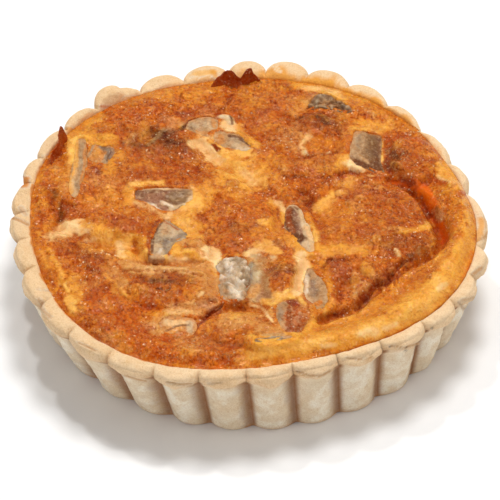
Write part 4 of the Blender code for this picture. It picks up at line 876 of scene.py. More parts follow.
def linear(colour):
    share = np.array(colour) / 255.0
    return np.where(share <= 0.04045, share / 12.92, ((share + 0.055) / 1.055) ** 2.4)


PALETTE = {name: np.array((*linear(rgb), crisp, wet)) for name, (rgb, crisp, wet) in TONES.items()}


def stain(finish, tone, share):
    """Turns a finish towards a tone, by a share for each point."""
    finish += (PALETTE[tone] - finish) * share[:, None]


def lay_marks(x, y, ground, marks, raggedness=1.0, seed=40):
    """Lays marks over a ground tone; returns colour, crispness and wetness, and the rise."""
    shift_x = rough(x, y, 0, 3.4, seed, 3) * 0.9 * raggedness
    shift_y = rough(x, y, 0, 3.4, seed + 9, 3) * 0.9 * raggedness
    grit = rough(x, y, 0, 1.6, seed + 20, 3) * 0.42
    finish = np.repeat(PALETTE[ground][None, :], len(x), axis=0)
    rise = np.zeros_like(x)
    for tone, strength, half_width, softness, lift, path in marks:
        size = min(1.0, 0.35 + half_width / 2.5)
        away = distance_to_path(x + shift_x * size, y + shift_y * size, path)
        share = eased((half_width - away) / (softness * MARK_BLUR) + 0.5
                      + grit * min(1.0, softness / 1.6))
        stain(finish, tone, strength * share)
        rise += lift * share
    return finish, rise


# Meshes

def spots_of(mesh):
    spots = np.empty(len(mesh.vertices) * 3)
    mesh.vertices.foreach_get("co", spots)
    return spots.reshape(-1, 3)


def place_spots(mesh, spots):
    """Puts the vertices at spots given in mm about the middle of the flutes."""
    mesh.vertices.foreach_set("co", ((spots - CENTRE) * MM).ravel())
    mesh.update()


def keep_finish(mesh, finish):
    """Stores the colour, crispness and wetness of each vertex for the material."""
    tone = mesh.attributes.new("tone", "FLOAT_COLOR", "POINT")
    rgba = np.ones((len(finish), 4))
    rgba[:, :3] = finish[:, :3]
    tone.data.foreach_set("color", rgba.ravel())
    for column, name in ((3, "crisp"), (4, "wet")):
        values = mesh.attributes.new(name, "FLOAT", "POINT")
        values.data.foreach_set("value", np.ascontiguousarray(finish[:, column]))


def add_piece(name, mesh, material, slot, *nodes):
    piece = bpy.data.objects.new(name, mesh)
    bpy.context.scene.collection.objects.link(piece)
    mesh.shade_smooth()
    mesh.materials.append(material)
    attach(piece, "root")
    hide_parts(*nodes)
    return piece


def mesh_from(bm, name):
    mesh = bpy.data.meshes.new(name)
    bmesh.ops.recalc_face_normals(bm, faces=bm.faces)
    bm.to_mesh(mesh)
    bm.free()
    return mesh


def open_edges(bm):
    return [edge for edge in bm.edges if edge.is_boundary]


def draw_out_rows(bm, edges, count, step):
    """Draws rows out of an edge loop, each a step above the last, and closes the ends."""
    for _ in range(count):
        made = bmesh.ops.extrude_edge_only(bm, edges=edges)["geom"]
        edges = [part for part in made if isinstance(part, bmesh.types.BMEdge)]
        verts = [part for part in made if isinstance(part, bmesh.types.BMVert)]
        bmesh.ops.translate(bm, vec=(0.0, 0.0, step), verts=verts)
    bmesh.ops.holes_fill(bm, edges=open_edges(bm), sides=0)


def tube_mesh(name, columns, rows):
    """A closed tube of radius 1 whose rows stand at heights 0, 1, 2 and so on."""
    bm = bmesh.new()
    bmesh.ops.create_circle(bm, segments=columns, radius=1.0)
    draw_out_rows(bm, list(bm.edges), rows - 1, 1.0)
    return mesh_from(bm, name)


# Materials

def node(tree, kind, inputs=None, **settings):
    made = tree.nodes.new(kind)
    for name, value in settings.items():
        setattr(made, name, value)
    for name, value in (inputs or {}).items():
        if isinstance(value, bpy.types.NodeSocket):
            tree.links.new(value, made.inputs[name])
        else:
            made.inputs[name].default_value = value
    return made


def reach(tree, value, low, high, bottom=0.0, top=1.0):
    """Smooth step of a value between low and high."""
    made = node(tree, "ShaderNodeMapRange", {
        "Value": value, "From Min": low, "From Max": high, "To Min": bottom, "To Max": top,
    }, interpolation_type="SMOOTHSTEP")
    return made.outputs["Result"]


def product(tree, a, b, operation="MULTIPLY"):
    return node(tree, "ShaderNodeMath", {0: a, 1: b}, operation=operation).outputs["Value"]


def blended(tree, factor, a, b, blend="MIX"):
    made = node(tree, "ShaderNodeMix", {0: factor, 6: a, 7: b}, data_type="RGBA", blend_type=blend)
    return made.outputs[2]


def noise(tree, spot, per_metre, detail=4.0, roughness=0.6, distortion=0.0):
    return node(tree, "ShaderNodeTexNoise", {
        "Vector": spot, "Scale": per_metre, "Detail": detail, "Roughness": roughness,
        "Distortion": distortion,
    }).outputs["Fac"]


def shared_group(name, inputs, outputs):
    group = bpy.data.node_groups.new(name, "ShaderNodeTree")
    for label, kind in inputs:
        group.interface.new_socket(label, in_out="INPUT", socket_type=kind)
    for label, kind in outputs:
        group.interface.new_socket(label, in_out="OUTPUT", socket_type=kind)
    return group, group.nodes.new("NodeGroupInput"), group.nodes.new("NodeGroupOutput")


def browning_group():
    """Fine mottling of a browned top: soft stains, pale granules, red-brown pores and painted glints.
    """
    group, given, result = shared_group(
        "browning",
        (("Tone", "NodeSocketColor"), ("Crisp", "NodeSocketFloat")),
        (("Colour", "NodeSocketColor"), ("Height", "NodeSocketFloat"),
         ("Gloss", "NodeSocketFloat"), ("Film", "NodeSocketFloat")))
    spot = node(group, "ShaderNodeTexCoord").outputs["Object"]
    wander = node(group, "ShaderNodeTexNoise", {
        "Vector": spot, "Scale": 900.0, "Detail": 3.0}).outputs["Color"]
    crooked = node(group, "ShaderNodeVectorMath", {
        0: wander, 1: (0.0010, 0.0010, 0.0010), 2: spot}, operation="MULTIPLY_ADD").outputs[0]
    granules = node(group, "ShaderNodeTexVoronoi", {"Vector": crooked, "Scale": 1400.0})
    lot = node(group, "ShaderNodeSeparateColor", {"Color": granules.outputs["Color"]})
    stains = noise(group, spot, 480.0, 5.0, 0.62)
    grain = noise(group, spot, 2200.0, 3.0, 0.7)
    crowd = reach(group, noise(group, spot, 330.0, 3.0, 0.6), 0.42, 0.60)
    pores = reach(group, noise(group, spot, 1350.0, 3.0, 0.65), 0.57, 0.64)
    veins = node(group, "ShaderNodeMath", {
        0: noise(group, crooked, 620.0, 2.0, 0.5), 1: 0.5}, operation="SUBTRACT").outputs["Value"]
    veins = node(group, "ShaderNodeMath", {0: veins}, operation="ABSOLUTE").outputs["Value"]
    veins = reach(group, veins, 0.030, 0.004)
    crisp, tone = given.outputs["Crisp"], given.outputs["Tone"]

    level = product(group, product(group, stains, 0.55), product(group, grain, 0.45), "ADD")
    toasted = blended(group, 1.0, tone, (0.80, 0.56, 0.20, 1.0), "MULTIPLY")
    bright = blended(group, 1.0, tone, (1.10, 1.30, 1.50, 1.0), "MULTIPLY")
    stained = blended(group, reach(group, level, 0.42, 0.58), toasted, bright)
    amount = reach(group, crisp, 0.0, 1.0, 0.25, 0.95)
    base = blended(group, amount, tone, stained)
    pore_share = product(group, product(group, pores, crisp), 0.95)
    pitted = blended(group, pore_share, base, blended(
        group, 1.0, tone, (0.62, 0.27, 0.05, 1.0), "MULTIPLY"))
    dots = reach(group, granules.outputs["Distance"], 0.44, 0.14)
    picked = reach(group, lot.outputs["Red"], 0.40, 0.60)
    dots = product(group, product(group, dots, picked), crowd)
    light = blended(group, 0.55, tone, (0.92, 0.56, 0.26, 1.0))
    dot_share = product(group, dots, reach(group, crisp, 0.0, 1.0, 0.12, 0.85))
    dotted = blended(group, dot_share, pitted, light)
    vein_share = product(group, product(group, veins, crisp), 0.34)
    veined = blended(group, vein_share, dotted, light)
    # painted highlights: small near-white glints in moist patches on the crisper tones
    glint_cells = node(group, "ShaderNodeTexVoronoi", {"Vector": crooked, "Scale": 1050.0})
    chosen = node(group, "ShaderNodeSeparateColor", {"Color": glint_cells.outputs["Color"]})
    glints = product(group, reach(group, glint_cells.outputs["Distance"], 0.30, 0.14),
                     reach(group, chosen.outputs["Green"], 0.62, 0.72))
    moist = reach(group, noise(group, spot, 210.0, 3.0, 0.6), 0.46, 0.58)
    glints = product(group, product(group, glints, moist), reach(group, crisp, 0.1, 0.9, 0.1, 0.75))
    colour = blended(group, glints, veined, (1.0, 0.80, 0.52, 1.0))

    height = product(group, product(group, dots, 0.7), product(group, veins, 0.35), "ADD")
    height = product(group, height, product(group, pores, 0.6), "SUBTRACT")
    height = product(group, product(group, height, crisp), product(group, stains, 1.0), "ADD")
    height = product(group, height, product(group, grain, 0.15), "ADD")
    group.links.new(colour, result.inputs["Colour"])
    group.links.new(height, result.inputs["Height"])
    group.links.new(noise(group, spot, 700.0, 4.0, 0.7), result.inputs["Gloss"])
    oily = reach(group, noise(group, spot, 300.0, 4.0, 0.6), 0.50, 0.62, 0.0, 0.55)
    film = product(group, product(group, dots, 0.9), product(group, veins, 0.5), "ADD")
    group.links.new(product(group, film, oily, "MAXIMUM"), result.inputs["Film"])
    return group


def named_value(tree, name, output):
    return node(tree, "ShaderNodeAttribute", attribute_name=name).outputs[output]


def new_finish(name):
    material = bpy.data.materials.new(name)
    material.use_nodes = True
    return material, material.node_tree, material.node_tree.nodes["Principled BSDF"]


def browned_finish(name, browning, roughness, bump, soft_light):
    """A moist baked surface: the stored tone, mottled by the browning group."""
    material, tree, shader = new_finish(name)
    mottle = node(tree, "ShaderNodeGroup", node_tree=browning)
    tree.links.new(named_value(tree, "tone", "Color"), mottle.inputs["Tone"])
    tree.links.new(named_value(tree, "crisp", "Fac"), mottle.inputs["Crisp"])
    tree.links.new(mottle.outputs["Colour"], shader.inputs["Base Color"])
    wet = product(tree, named_value(tree, "wet", "Fac"), 0.22)
    dryness = reach(tree, mottle.outputs["Gloss"], 0.38, 0.62, roughness - 0.12, roughness + 0.14)
    tree.links.new(product(tree, dryness, wet, "SUBTRACT"), shader.inputs["Roughness"])
    relief = node(tree, "ShaderNodeBump", {
        "Height": mottle.outputs["Height"], "Strength": bump, "Distance": 0.00045})
    tree.links.new(relief.outputs["Normal"], shader.inputs["Normal"])
    tree.links.new(relief.outputs["Normal"], shader.inputs["Coat Normal"])
    moist = product(tree, named_value(tree, "wet", "Fac"), 0.35, "ADD")
    tree.links.new(product(tree, mottle.outputs["Film"], moist), shader.inputs["Coat Weight"])
    shader.inputs["Coat Roughness"].default_value = 0.13
    shader.inputs["Subsurface Weight"].default_value = soft_light
    shader.inputs["Subsurface Radius"].default_value = (1.0, 0.42, 0.15)
    shader.inputs["Subsurface Scale"].default_value = 0.0012
    shader.inputs["Specular IOR Level"].default_value = 0.26
    shader.inputs["Specular Tint"].default_value = (1.0, 0.62, 0.28, 1.0)
    return material


def pastry_finish():
    """Dry floured pastry: the stored tone with flour, fine grain and faint speckles."""
    material, tree, shader = new_finish("pastry")
    spot = node(tree, "ShaderNodeTexCoord").outputs["Object"]
    tone = named_value(tree, "tone", "Color")
    flour = reach(tree, noise(tree, spot, 360.0, 7.0, 0.75), 0.42, 0.66, 0.0, 0.55)
    floured = blended(tree, flour, tone, blended(
        tree, 1.0, tone, (1.12, 1.17, 1.25, 1.0), "MULTIPLY"))
    baked = reach(tree, noise(tree, spot, 170.0, 7.0, 0.72), 0.47, 0.66, 0.0, 0.50)
    warmed = blended(tree, baked, floured, blended(
        tree, 1.0, tone, (0.92, 0.80, 0.64, 1.0), "MULTIPLY"))
    grains = noise(tree, spot, 2600.0, 3.0, 0.8)
    pale = blended(tree, reach(tree, grains, 0.50, 0.66, 0.0, 0.55), warmed, blended(
        tree, 1.0, tone, (1.16, 1.20, 1.26, 1.0), "MULTIPLY"))
    freckles = reach(tree, grains, 0.50, 0.34, 0.0, 0.55)
    colour = blended(tree, freckles, pale, blended(
        tree, 1.0, tone, (0.82, 0.68, 0.52, 1.0), "MULTIPLY"))
    tree.links.new(colour, shader.inputs["Base Color"])
    grain = product(tree, product(tree, grains, 0.7), product(
        tree, noise(tree, spot, 560.0, 7.0, 0.7), 2.4), "ADD")
    relief = node(tree, "ShaderNodeBump", {
        "Height": grain, "Strength": 0.75, "Distance": 0.00045})
    tree.links.new(relief.outputs["Normal"], shader.inputs["Normal"])
    shader.inputs["Roughness"].default_value = 0.8
    shader.inputs["Specular IOR Level"].default_value = 0.15
    shader.inputs["Subsurface Weight"].default_value = 0.05
    shader.inputs["Subsurface Radius"].default_value = (1.0, 0.6, 0.35)
    shader.inputs["Subsurface Scale"].default_value = 0.0008
    return material


# Pastry shell

def pastry_rows():
    """Rows of the shell's outline: kind and value, from the underside round to the floor."""
    rows = [("under", share) for share in (0.03, 0.35, 0.7, 0.93, 0.985)]
    rows += [("wall", height) for height in (0.0, 0.12, 0.35, 0.65)]
    count = int(round((OUTER_ROWS[-1][0] - 0.95) / WALL_STEP))
    rows += [("wall", h) for h in np.linspace(0.95, OUTER_ROWS[-1][0] - 0.25, count)]
    for (start, _), (end, _) in zip(LIP_SHAPE, LIP_SHAPE[1:]):
        rows += [("lip", start + (end - start) * i / LIP_PARTS) for i in range(LIP_PARTS)]
    rows += [("lip", 0.0)]
    rows += [("well", height) for height, _ in WELL_ROWS]
    rows += [("floor", share) for share in (0.6, 0.04)]
    return rows


def flute_fullness(place):
    """0 at a groove and 1 at the tip of a flute, with the bottom of the groove rounded."""
    power, low = FLUTE_ROUNDNESS / 2, GROOVE_ROUNDING ** FLUTE_ROUNDNESS
    full = (np.sin(np.pi * place) ** 2 + GROOVE_ROUNDING ** 2) ** power - low
    return full / ((1.0 + GROOVE_ROUNDING ** 2) ** power - low)


def torn_flap(bearing, height):
    """A torn flap of the lip that hangs over a groove at the front."""
    along = (bearing - 181.0) / 3.4
    return np.clip(1.0 - along ** 2, 0.0, 1.0) * eased((height - 18.9) / 0.5)


def front_right(bearing):
    """1 where the lip is a distinct fold over the wall, at the front right, falling to 0."""
    return eased((np.cos(np.radians(bearing - 145.0)) - 0.25) / 0.5)


def lip_edge(bearing, full):
    """Height of the lower edge of the lip: an arc on each flute, with a ragged line."""
    along = bearing * RIM_ARC
    ragged = lumps(along, 0, 0, 4.0, 3) * 0.5 + lumps(along, 0, 0, 1.5, 4) * 0.25
    return LIP_EDGE[0] - LIP_EDGE[1] * full ** 2 + ragged


def pastry_spot(kind, value, place, bearing, full):
    """One row of the shell: points in mm, and how far each belongs to the lip."""
    rim_wave = waves(bearing, RIM_WAVES)
    turn = np.radians(bearing)
    inner = filling_radius(bearing)
    knob, broken = local_rise(bearing, KNOB), local_rise(bearing, BROKEN_LIP)
    along = bearing * RIM_ARC
    flute = np.floor(place)
    side = speck(flute.astype(np.int64), 0, 0, 5) * 0.35 * full
    lift = speck(flute.astype(np.int64), 3, 0, 5) * 0.30 * full
    wrapped = (bearing + 180.0) % 360.0 - 180.0
    notch = np.interp(wrapped, *zip(*NOTCH_DEPTHS)) * (1.0 - full) ** 1.3
    lip_share = np.zeros_like(bearing)
    if kind in ("under", "wall"):
        height = np.full_like(bearing, value if kind == "wall" else 0.0)
        rise = height / RIM_HEIGHT
        heights, tips, depths = zip(*OUTER_ROWS)
        tip = np.interp(height, heights, tips)
        depth = np.interp(height, heights, depths)
        wave = rim_wave * rise + waves(bearing, BASE_WAVES) * (1 - rise)
        near_rim = np.clip(rise * 4 - 3, 0.0, None)
        out = (KNOB[2] * knob + BROKEN_LIP[2] * broken) * near_rim
        radius = tip + wave + side * rise + out - depth * (1 - full)
        folded = front_right(bearing)
        lip_share = eased((height - lip_edge(bearing, full)) / (1.6 - 1.2 * folded) + 0.5)
        fold = 0.2 + 0.6 * folded
        radius = radius - fold * (1 - lip_share) * eased((height - 10.0) / 8.0) * full
        radius = radius + torn_flap(bearing, height) * (1 - full)
        dough = rough(along, height, 0, 5.0, 61, 4) * 0.20
        wrinkle = np.minimum(lumps(along * 0.22, height * 2.2, 0, 2.2, 71), 0.1) * 0.26
        fine = rough(along, height, 0, 1.0, 81, 2) * 0.10
        toe = eased(height / 1.6)
        radius = radius - WALL_SETBACK + (dough + wrinkle + fine) * toe * (0.35 + 0.65 * full)
        up = (KNOB[3] * knob + BROKEN_LIP[3] * broken + lift) * near_rim
        level = height + up - notch * eased((height - 17.0) / 4.0)
        if kind == "under":
            radius = radius * value
            level = UNDERSIDE_LIFT * (1 + rough(radius, along * 0.2, 0, 6.0, 91, 2)) * (value < 0.95)
            level = np.maximum(level, 0.0)
    elif kind == "lip":
        tips, depths = OUTER_ROWS[-1][1], OUTER_ROWS[-1][2]
        outer = tips + rim_wave - depths * (1 - full) + side + BROKEN_LIP[2] * broken * 0.8
        outer = outer + KNOB[2] * knob - WALL_SETBACK
        radius = inner + (outer - inner) * value
        shares, heights = zip(*reversed(LIP_SHAPE))
        level = np.interp(value, shares, heights)
        swell = np.sin(np.pi * np.clip(value, 0, 1)) ** 0.5
        dough = rough(radius, along, 0, 4.0, 63, 4) * 0.26
        fine = rough(radius, along, 0, 1.1, 83, 2) * 0.11
        level = level + (dough + fine) * swell - notch * value ** 0.9
        up = KNOB[3] * knob + BROKEN_LIP[3] * broken + lift
        level = level + up * eased(value * 3)
        lip_share = np.ones_like(bearing)
    else:
        level = np.full_like(bearing, value if kind == "well" else FLOOR_THICKNESS)
        outside = dict(WELL_ROWS)[value] if kind == "well" else WELL_ROWS[-1][1]
        radius = inner + outside
        if kind == "floor":
            radius = radius * value
    shift = BASE_SHIFT * (1.0 - level / RIM_HEIGHT)
    spots = np.stack((radius * np.sin(turn) + shift, radius * np.cos(turn), level), axis=1)
    return spots, lip_share


def pastry_tone(kinds, values, lip_share, place, full, spots, x, y):
    """Colour of the shell: pale floured wall, tan lip, browned grooves with painted shade, painted
    shade under the lip's fold, stained inner edge.
    """
    finish = np.repeat(PALETTE["wall"][None, :], len(x), axis=0)
    bearing = np.degrees(np.arctan2(spots[:, 0], spots[:, 1]))
    along, height = bearing * RIM_ARC, spots[:, 2]

    def blend_in(tone, share):
        stain(finish, tone, np.clip(share, 0.0, 1.0))

    on_wall = (kinds == "wall") | (kinds == "under")
    on_lip = kinds == "lip"
    blotch = rough(along, height, 0, 6.0, 21, 3)
    patchy = rough(along, height, 0, 2.6, 27, 4)
    blend_in("chalk", on_wall * eased(0.35 + 0.9 * patchy) * 0.75 * eased((20.0 - height) / 4.0))
    blend_in("lip", on_wall * eased((height - 14.5) / 5.5) * (0.65 + 0.3 * blotch))
    # the grooves: a brown band that is partly baked colour and partly painted shade, and a russet line
    # of painted shade at the bottom of each crease
    share = place % 1.0
    right_flank = eased(1.15 - share / (0.27 + 0.07 * patchy))
    left_flank = eased(1.15 - (1.0 - share) / 0.13)
    below_lip = eased((21.4 - height) / 1.6)
    blend_in("groove", on_wall * np.maximum(right_flank * 0.75, left_flank * 0.9) * below_lip)
    blend_in("russet", on_wall * eased(1.0 - np.minimum(share / 0.14, (1 - share) / 0.08))
             * below_lip * 0.35)
    blend_in("caramel", on_wall * eased(1.0 - height / 2.2) * (0.45 + 0.5 * patchy))
    # painted shade: a caramel line just under the lip's lower edge, strongest where the lip folds over
    # the wall at the front right
    fold_line = np.exp(-((height - lip_edge(bearing, full) + 0.2) / 0.45) ** 2)
    blend_in("caramel", on_wall * fold_line * (0.30 + 0.7 * patchy) * (
        0.35 + 0.65 * front_right(bearing)))
    blend_in("lip", lip_share * 0.8)
    blend_in("rim", on_lip * eased((0.99 - values) / 0.25) * 0.9)
    # painted shade: the lip's tone darkens towards the back and left, where the light falls strongly
    # on the petals
    painted_back_shade = eased(0.5 + 1.1 * np.cos(np.radians(bearing + 50.0)))[:, None] * on_lip[:, None]
    finish[:, :3] *= 1.0 - painted_back_shade * np.array((0.04, 0.08, 0.14))
    inward = np.abs((bearing + 120.0 + 180.0) % 360.0 - 180.0)
    left = eased(1.4 - inward / 60.0)
    streak = rough(along, values * 2.0, 0, 3.0, 25, 3)
    blend_in("amber", on_lip * eased((0.16 + 0.12 * streak - values) / 0.12) * (0.3 + 0.6 * left))
    back_right = eased(np.cos(np.radians(bearing - 28.0)) * 2.2 - 1.3)
    blend_in("golden", on_lip * eased((0.60 + 0.3 * streak - values) / 0.45) * back_right)
    facing = (spots[:, 1] < 0) | (height > 19.5)
    marked, _ = lay_marks(x, y, "wall", PASTRY_MARKS, 0.35)
    untouched = PALETTE["wall"][None, :]
    seen = facing * np.clip(np.abs(marked - untouched).sum(axis=1) * 6.0, 0.0, 1.0)
    return finish + (marked - finish) * seen[:, None]


def make_pastry():
    rows = pastry_rows()
    columns = FLUTES * FLUTE_COLUMNS
    mesh = tube_mesh("pastry_shell", columns, len(rows))
    start = spots_of(mesh)
    row_of = np.rint(start[:, 2]).astype(int)
    column_of = np.rint(np.arctan2(start[:, 0], start[:, 1]) / (2 * np.pi) * columns) % columns
    even = column_of / FLUTE_COLUMNS
    step = even % 1.0
    place = even - GROOVE_CROWDING * np.sin(2 * np.pi * step) / (2 * np.pi)
    bearing = bearing_of_flute(place)
    full = flute_fullness(place)
    left = eased(np.cos(np.radians(bearing + 100.0)) * 1.6 - 0.3)
    sharp = np.abs(np.sin(np.pi * place)) ** (PETAL_ROUNDNESS - 0.22 * left)
    spots = np.zeros_like(start)
    lip_share = np.zeros(len(start))
    for index, (kind, value) in enumerate(rows):
        here = row_of == index
        at_lip = 1.0 if kind == "lip" else float(eased((value - 16.0) / 5.0)) * (kind == "wall")
        spots[here], lip_share[here] = pastry_spot(
            kind, value, place[here], bearing[here],
            full[here] + (sharp[here] - full[here]) * at_lip)
    kinds = np.array([kind for kind, _ in rows])[row_of]
    values = np.array([value for _, value in rows])[row_of]
    x, y = on_plan(spots)
    _, dents = lay_marks(x, y, "wall", PASTRY_MARKS, 0.35)
    facing = (spots[:, 1] < 0) | (spots[:, 2] > 20.5)
    outward = spots[:, :2] / np.maximum(np.hypot(spots[:, 0], spots[:, 1]), 1.0)[:, None]
    wall_part = facing & (kinds == "wall")
    spots[:, :2] += outward * (dents * wall_part)[:, None]
    spots[:, 2] += dents * (facing & (kinds == "lip"))
    finish = pastry_tone(kinds, values, lip_share, place, full, spots, x, y)
    place_spots(mesh, spots)
    keep_finish(mesh, finish)
    return add_piece("pastry_shell", mesh, pastry_finish(), "crust", "crust")


# Mushroom pieces

def tilt_matrix(turn, lean, roll):
    tilt = Matrix.Rotation(math.radians(turn), 3, "Z")
    tilt = tilt @ Matrix.Rotation(math.radians(roll), 3, "Y")
    return tilt @ Matrix.Rotation(math.radians(lean), 3, "X")


def slab_plane(name):
    """Normal of the cut face of a piece and a point on it."""
    x, y, _, _, turn, lean, roll = MUSHROOMS[name][0]
    tilt = tilt_matrix(turn, lean * SLAB_TILT, roll * SLAB_TILT)
    level = float(surface_height(np.array(x), np.array(y))) + PROUD.get(name, LEAST_PROUD)
    return np.array(tilt @ Vector((0.0, 0.0, 1.0))), np.array((x, y, level))


def eased_corners(outline, rounds):
    corners = np.array(outline)
    for _ in range(rounds):
        following = np.roll(corners, -1, axis=0)
        corners = np.concatenate([
            np.stack((a * 0.78 + b * 0.22, a * 0.22 + b * 0.78)) for a, b in zip(corners, following)])
    return corners


def outline_reach(outline, turns):
    """Distance from the middle of an outline to its edge along each turn, with eased corners."""
    corners = eased_corners(outline, 2)
    middle = corners.mean(axis=0)
    run = np.roll(corners, -1, axis=0) - corners
    corners = np.concatenate([corners + run * share for share in np.arange(0.0, 1.0, 0.1)])
    rel = corners - middle
    angles = np.arctan2(rel[:, 1], rel[:, 0])
    order = np.argsort(angles)
    angles, rel = angles[order], rel[order]
    reaches = np.hypot(rel[:, 0], rel[:, 1])
    return middle, np.interp(turns, angles, reaches, period=2 * np.pi)


def lifted_from_plan(x, y, point, normal):
    """Carries plan points back along the camera's slope onto a tilted plane."""
    flat = np.stack((x, y, np.full_like(x, PLAN_LEVEL)), axis=1)
    runs = flat - CAMERA_PLACE
    share = ((point - CAMERA_PLACE) @ normal) / (runs @ normal)
    return CAMERA_PLACE + runs * share[:, None]


def slice_plan(outline, turns, share):
    """Points of a slice on the plan; a long one is worked out shortened, so they stay even."""
    corners = np.array(outline)
    centre = corners.mean(axis=0)
    _, sizes, lines = np.linalg.svd(corners - centre)
    length_line, slimness = lines[0], sizes[0] / sizes[1]
    shortened = np.outer((corners - centre) @ length_line, length_line) * (1.0 - 1.0 / slimness)
    middle, edge = outline_reach(corners - shortened, turns)
    ways = np.stack((np.cos(turns), np.sin(turns)), axis=1)
    edge = edge + SLAB_TUCK / np.sqrt(1.0 + (slimness ** 2 - 1.0) * (ways @ length_line) ** 2)
    plan = middle + ways * (edge * share)[:, None]
    plan += np.outer((plan - centre) @ length_line, length_line) * (slimness - 1.0)
    return plan.T


def make_mushroom(name, material):
    slab, roughness, outline, ground, marks = MUSHROOMS[name]
    thickness = slab[3]
    seed = sum(map(ord, name)) % 1000
    normal, top = slab_plane(name)
    bm = bmesh.new()
    bmesh.ops.create_icosphere(bm, subdivisions=6, radius=1.0)
    mesh = mesh_from(bm, name + "_slice")
    start = spots_of(mesh)
    out, level, power = np.hypot(start[:, 0], start[:, 1]), start[:, 2], 2.0 / SLAB_FLATNESS
    swell = (out ** power + np.abs(level) ** power) ** (-1.0 / power)
    out, level = out * swell, level * swell
    share = np.where(level >= 0, out, out * (0.8 + 0.2 * (1 + level)))
    x, y = slice_plan(outline, np.arctan2(start[:, 1], start[:, 0]), share)
    spots = lifted_from_plan(x, y, top, normal)
    spots = spots + normal * ((level - 1.0) * thickness)[:, None]
    finish, rise = lay_marks(x, y, ground, marks, 0.6, seed)
    fringe = eased((out - 0.80 + 0.14 * rough(x, y, 0, 1.8, seed + 8, 3)) / 0.2) * 0.4
    stain(finish, "tan", fringe)
    streaks = rough(x * 2.2, y * 0.8, 0, 1.6, seed + 11, 3)
    finish[:, :3] *= (1.0 + 0.16 * np.clip(streaks, -1.2, 1.2))[:, None]
    bumps = rough(spots[:, 0], spots[:, 1], spots[:, 2], 2.2, seed, 5) * roughness
    folds = rough(x, y, spots[:, 2], 0.8, seed + 3, 3) * roughness * 0.35
    speckle = rough(x, y, 0, 0.6, seed + 17, 2)
    stain(finish, "pale", eased(speckle * 1.8 - 0.6) * 0.4)
    stain(finish, "umber", eased(-speckle * 1.8 - 0.6) * 0.3)
    if roughness > 0.3:
        nudge = rough(x, y, 0, 1.7, seed + 13, 2)
        crumbs = eased((0.62 - pores(x + 0.8 * nudge, y - 0.6 * nudge, 2.4, seed + 23)) / 0.4)
        folds += (crumbs - 0.5) * roughness * 1.3
        # painted shade between the crumbs or gills of a rough piece: the gaps between them take a
        # darker tone
        light, crumb_gap_shade = ("white", "grey") if roughness > 0.5 else ("grey", "umber")
        pick = eased(rough(x, y, 0, 2.2, seed + 19, 2) * 1.2 + 0.5)
        stain(finish, light, crumbs * pick * 0.7)
        stain(finish, crumb_gap_shade, (1.0 - crumbs) * 0.55)
    finish[:, :3] *= np.array(STEWED)
    calm = 0.1 + 0.9 * eased((1.0 - out) / 0.2)
    spots = spots + normal * (rise * (level > 0) + (bumps + folds) * calm)[:, None]
    wander = [lumps(*spots.T, 1.4, seed + 5), lumps(*spots.T, 1.4, seed + 6)]
    spots[:, :2] += 0.12 * np.stack(wander, 1)
    place_spots(mesh, spots)
    keep_finish(mesh, finish)
    return add_piece(name + "_slice", mesh, material, "mushroom", name)


# Filling

def surface_height(x, y):
    z = np.full(np.shape(x), SURFACE_LEVEL)
    for dome_x, dome_y, length, width, turn, height, fullness in DOMES:
        c, s = math.cos(math.radians(turn)), math.sin(math.radians(turn))
        along = ((x - dome_x) * c + (y - dome_y) * s) / length
        across = ((y - dome_y) * c - (x - dome_x) * s) / width
        z = z + height * np.clip(1.0 - along ** 2 - across ** 2, 0.0, None) ** fullness
    for sign, rows in ((1.0, ROLLS), (-1.0, FURROWS)):
        for path, half_width, height in rows:
            away = np.clip(distance_to_path(x, y, path) / half_width, 0.0, 1.0)
            z = z + sign * height * np.cos(away * math.pi / 2) ** 2
    reach_share = np.hypot(x, y) / filling_radius(np.degrees(np.arctan2(x, y)))
    edge = np.clip((reach_share - 1.0 + EDGE_SHARE) / EDGE_SHARE, 0.0, 1.0)
    return z - EDGE_DROP * edge ** 2


def hexagon_to_disc(x, y):
    """Ring share and bearing of points of a hexagon of radius 1, so that rings stay even."""
    third = math.pi / 3
    turn = np.arctan2(y, x) % (2 * math.pi)
    start = np.minimum(5, np.floor(turn / third)) * third
    cross = math.sin(third)
    first = (x * np.sin(start + third) - y * np.cos(start + third)) / cross
    second = (y * np.cos(start) - x * np.sin(start)) / cross
    ring = first + second
    return ring, np.degrees(start + second / np.maximum(ring, 1e-6) * third)


def bedded_mushrooms(spots, x, y):
    """Lets the filling lead up to the edge of each mushroom piece and dip under it."""
    level = spots[:, 2].copy()
    overlap = rough(x, y, 0, 2.4, 151, 2) * 0.20 + 0.12
    ragged = rough(x, y, 0, 1.9, 155, 2) * 0.36
    for name, (_, _, outline, _, _) in MUSHROOMS.items():
        normal, top = slab_plane(name)
        middle, reaches = outline_reach(outline, np.linspace(0.0, 2 * np.pi, 64))
        run = np.hypot(x - middle[0], y - middle[1])
        near = run < reaches.max() + SLAB_TUCK + SLAB_NEST
        turns = np.arctan2(y[near] - middle[1], x[near] - middle[0])
        within = run[near] < outline_reach(outline, turns)[1]
        corners = eased_corners(outline, 1)
        away = distance_to_path(x[near], y[near], [*corners, corners[0]])
        away = np.where(within, -away, away)
        plane = top[2] - ((spots[near, 0] - top[0]) * normal[0]
                          + (spots[near, 1] - top[1]) * normal[1]) / normal[2]
        here = level[near]
        nest = eased(1.0 - (away - SLAB_TUCK) / SLAB_NEST)
        here = here + (plane + overlap[near] - here) * nest
        inside = eased((ragged[near] * 0.7 - away) / 0.6 + 0.1)
        level[near] = here + (np.minimum(here, plane - SLAB_BED) - here) * inside
    return level


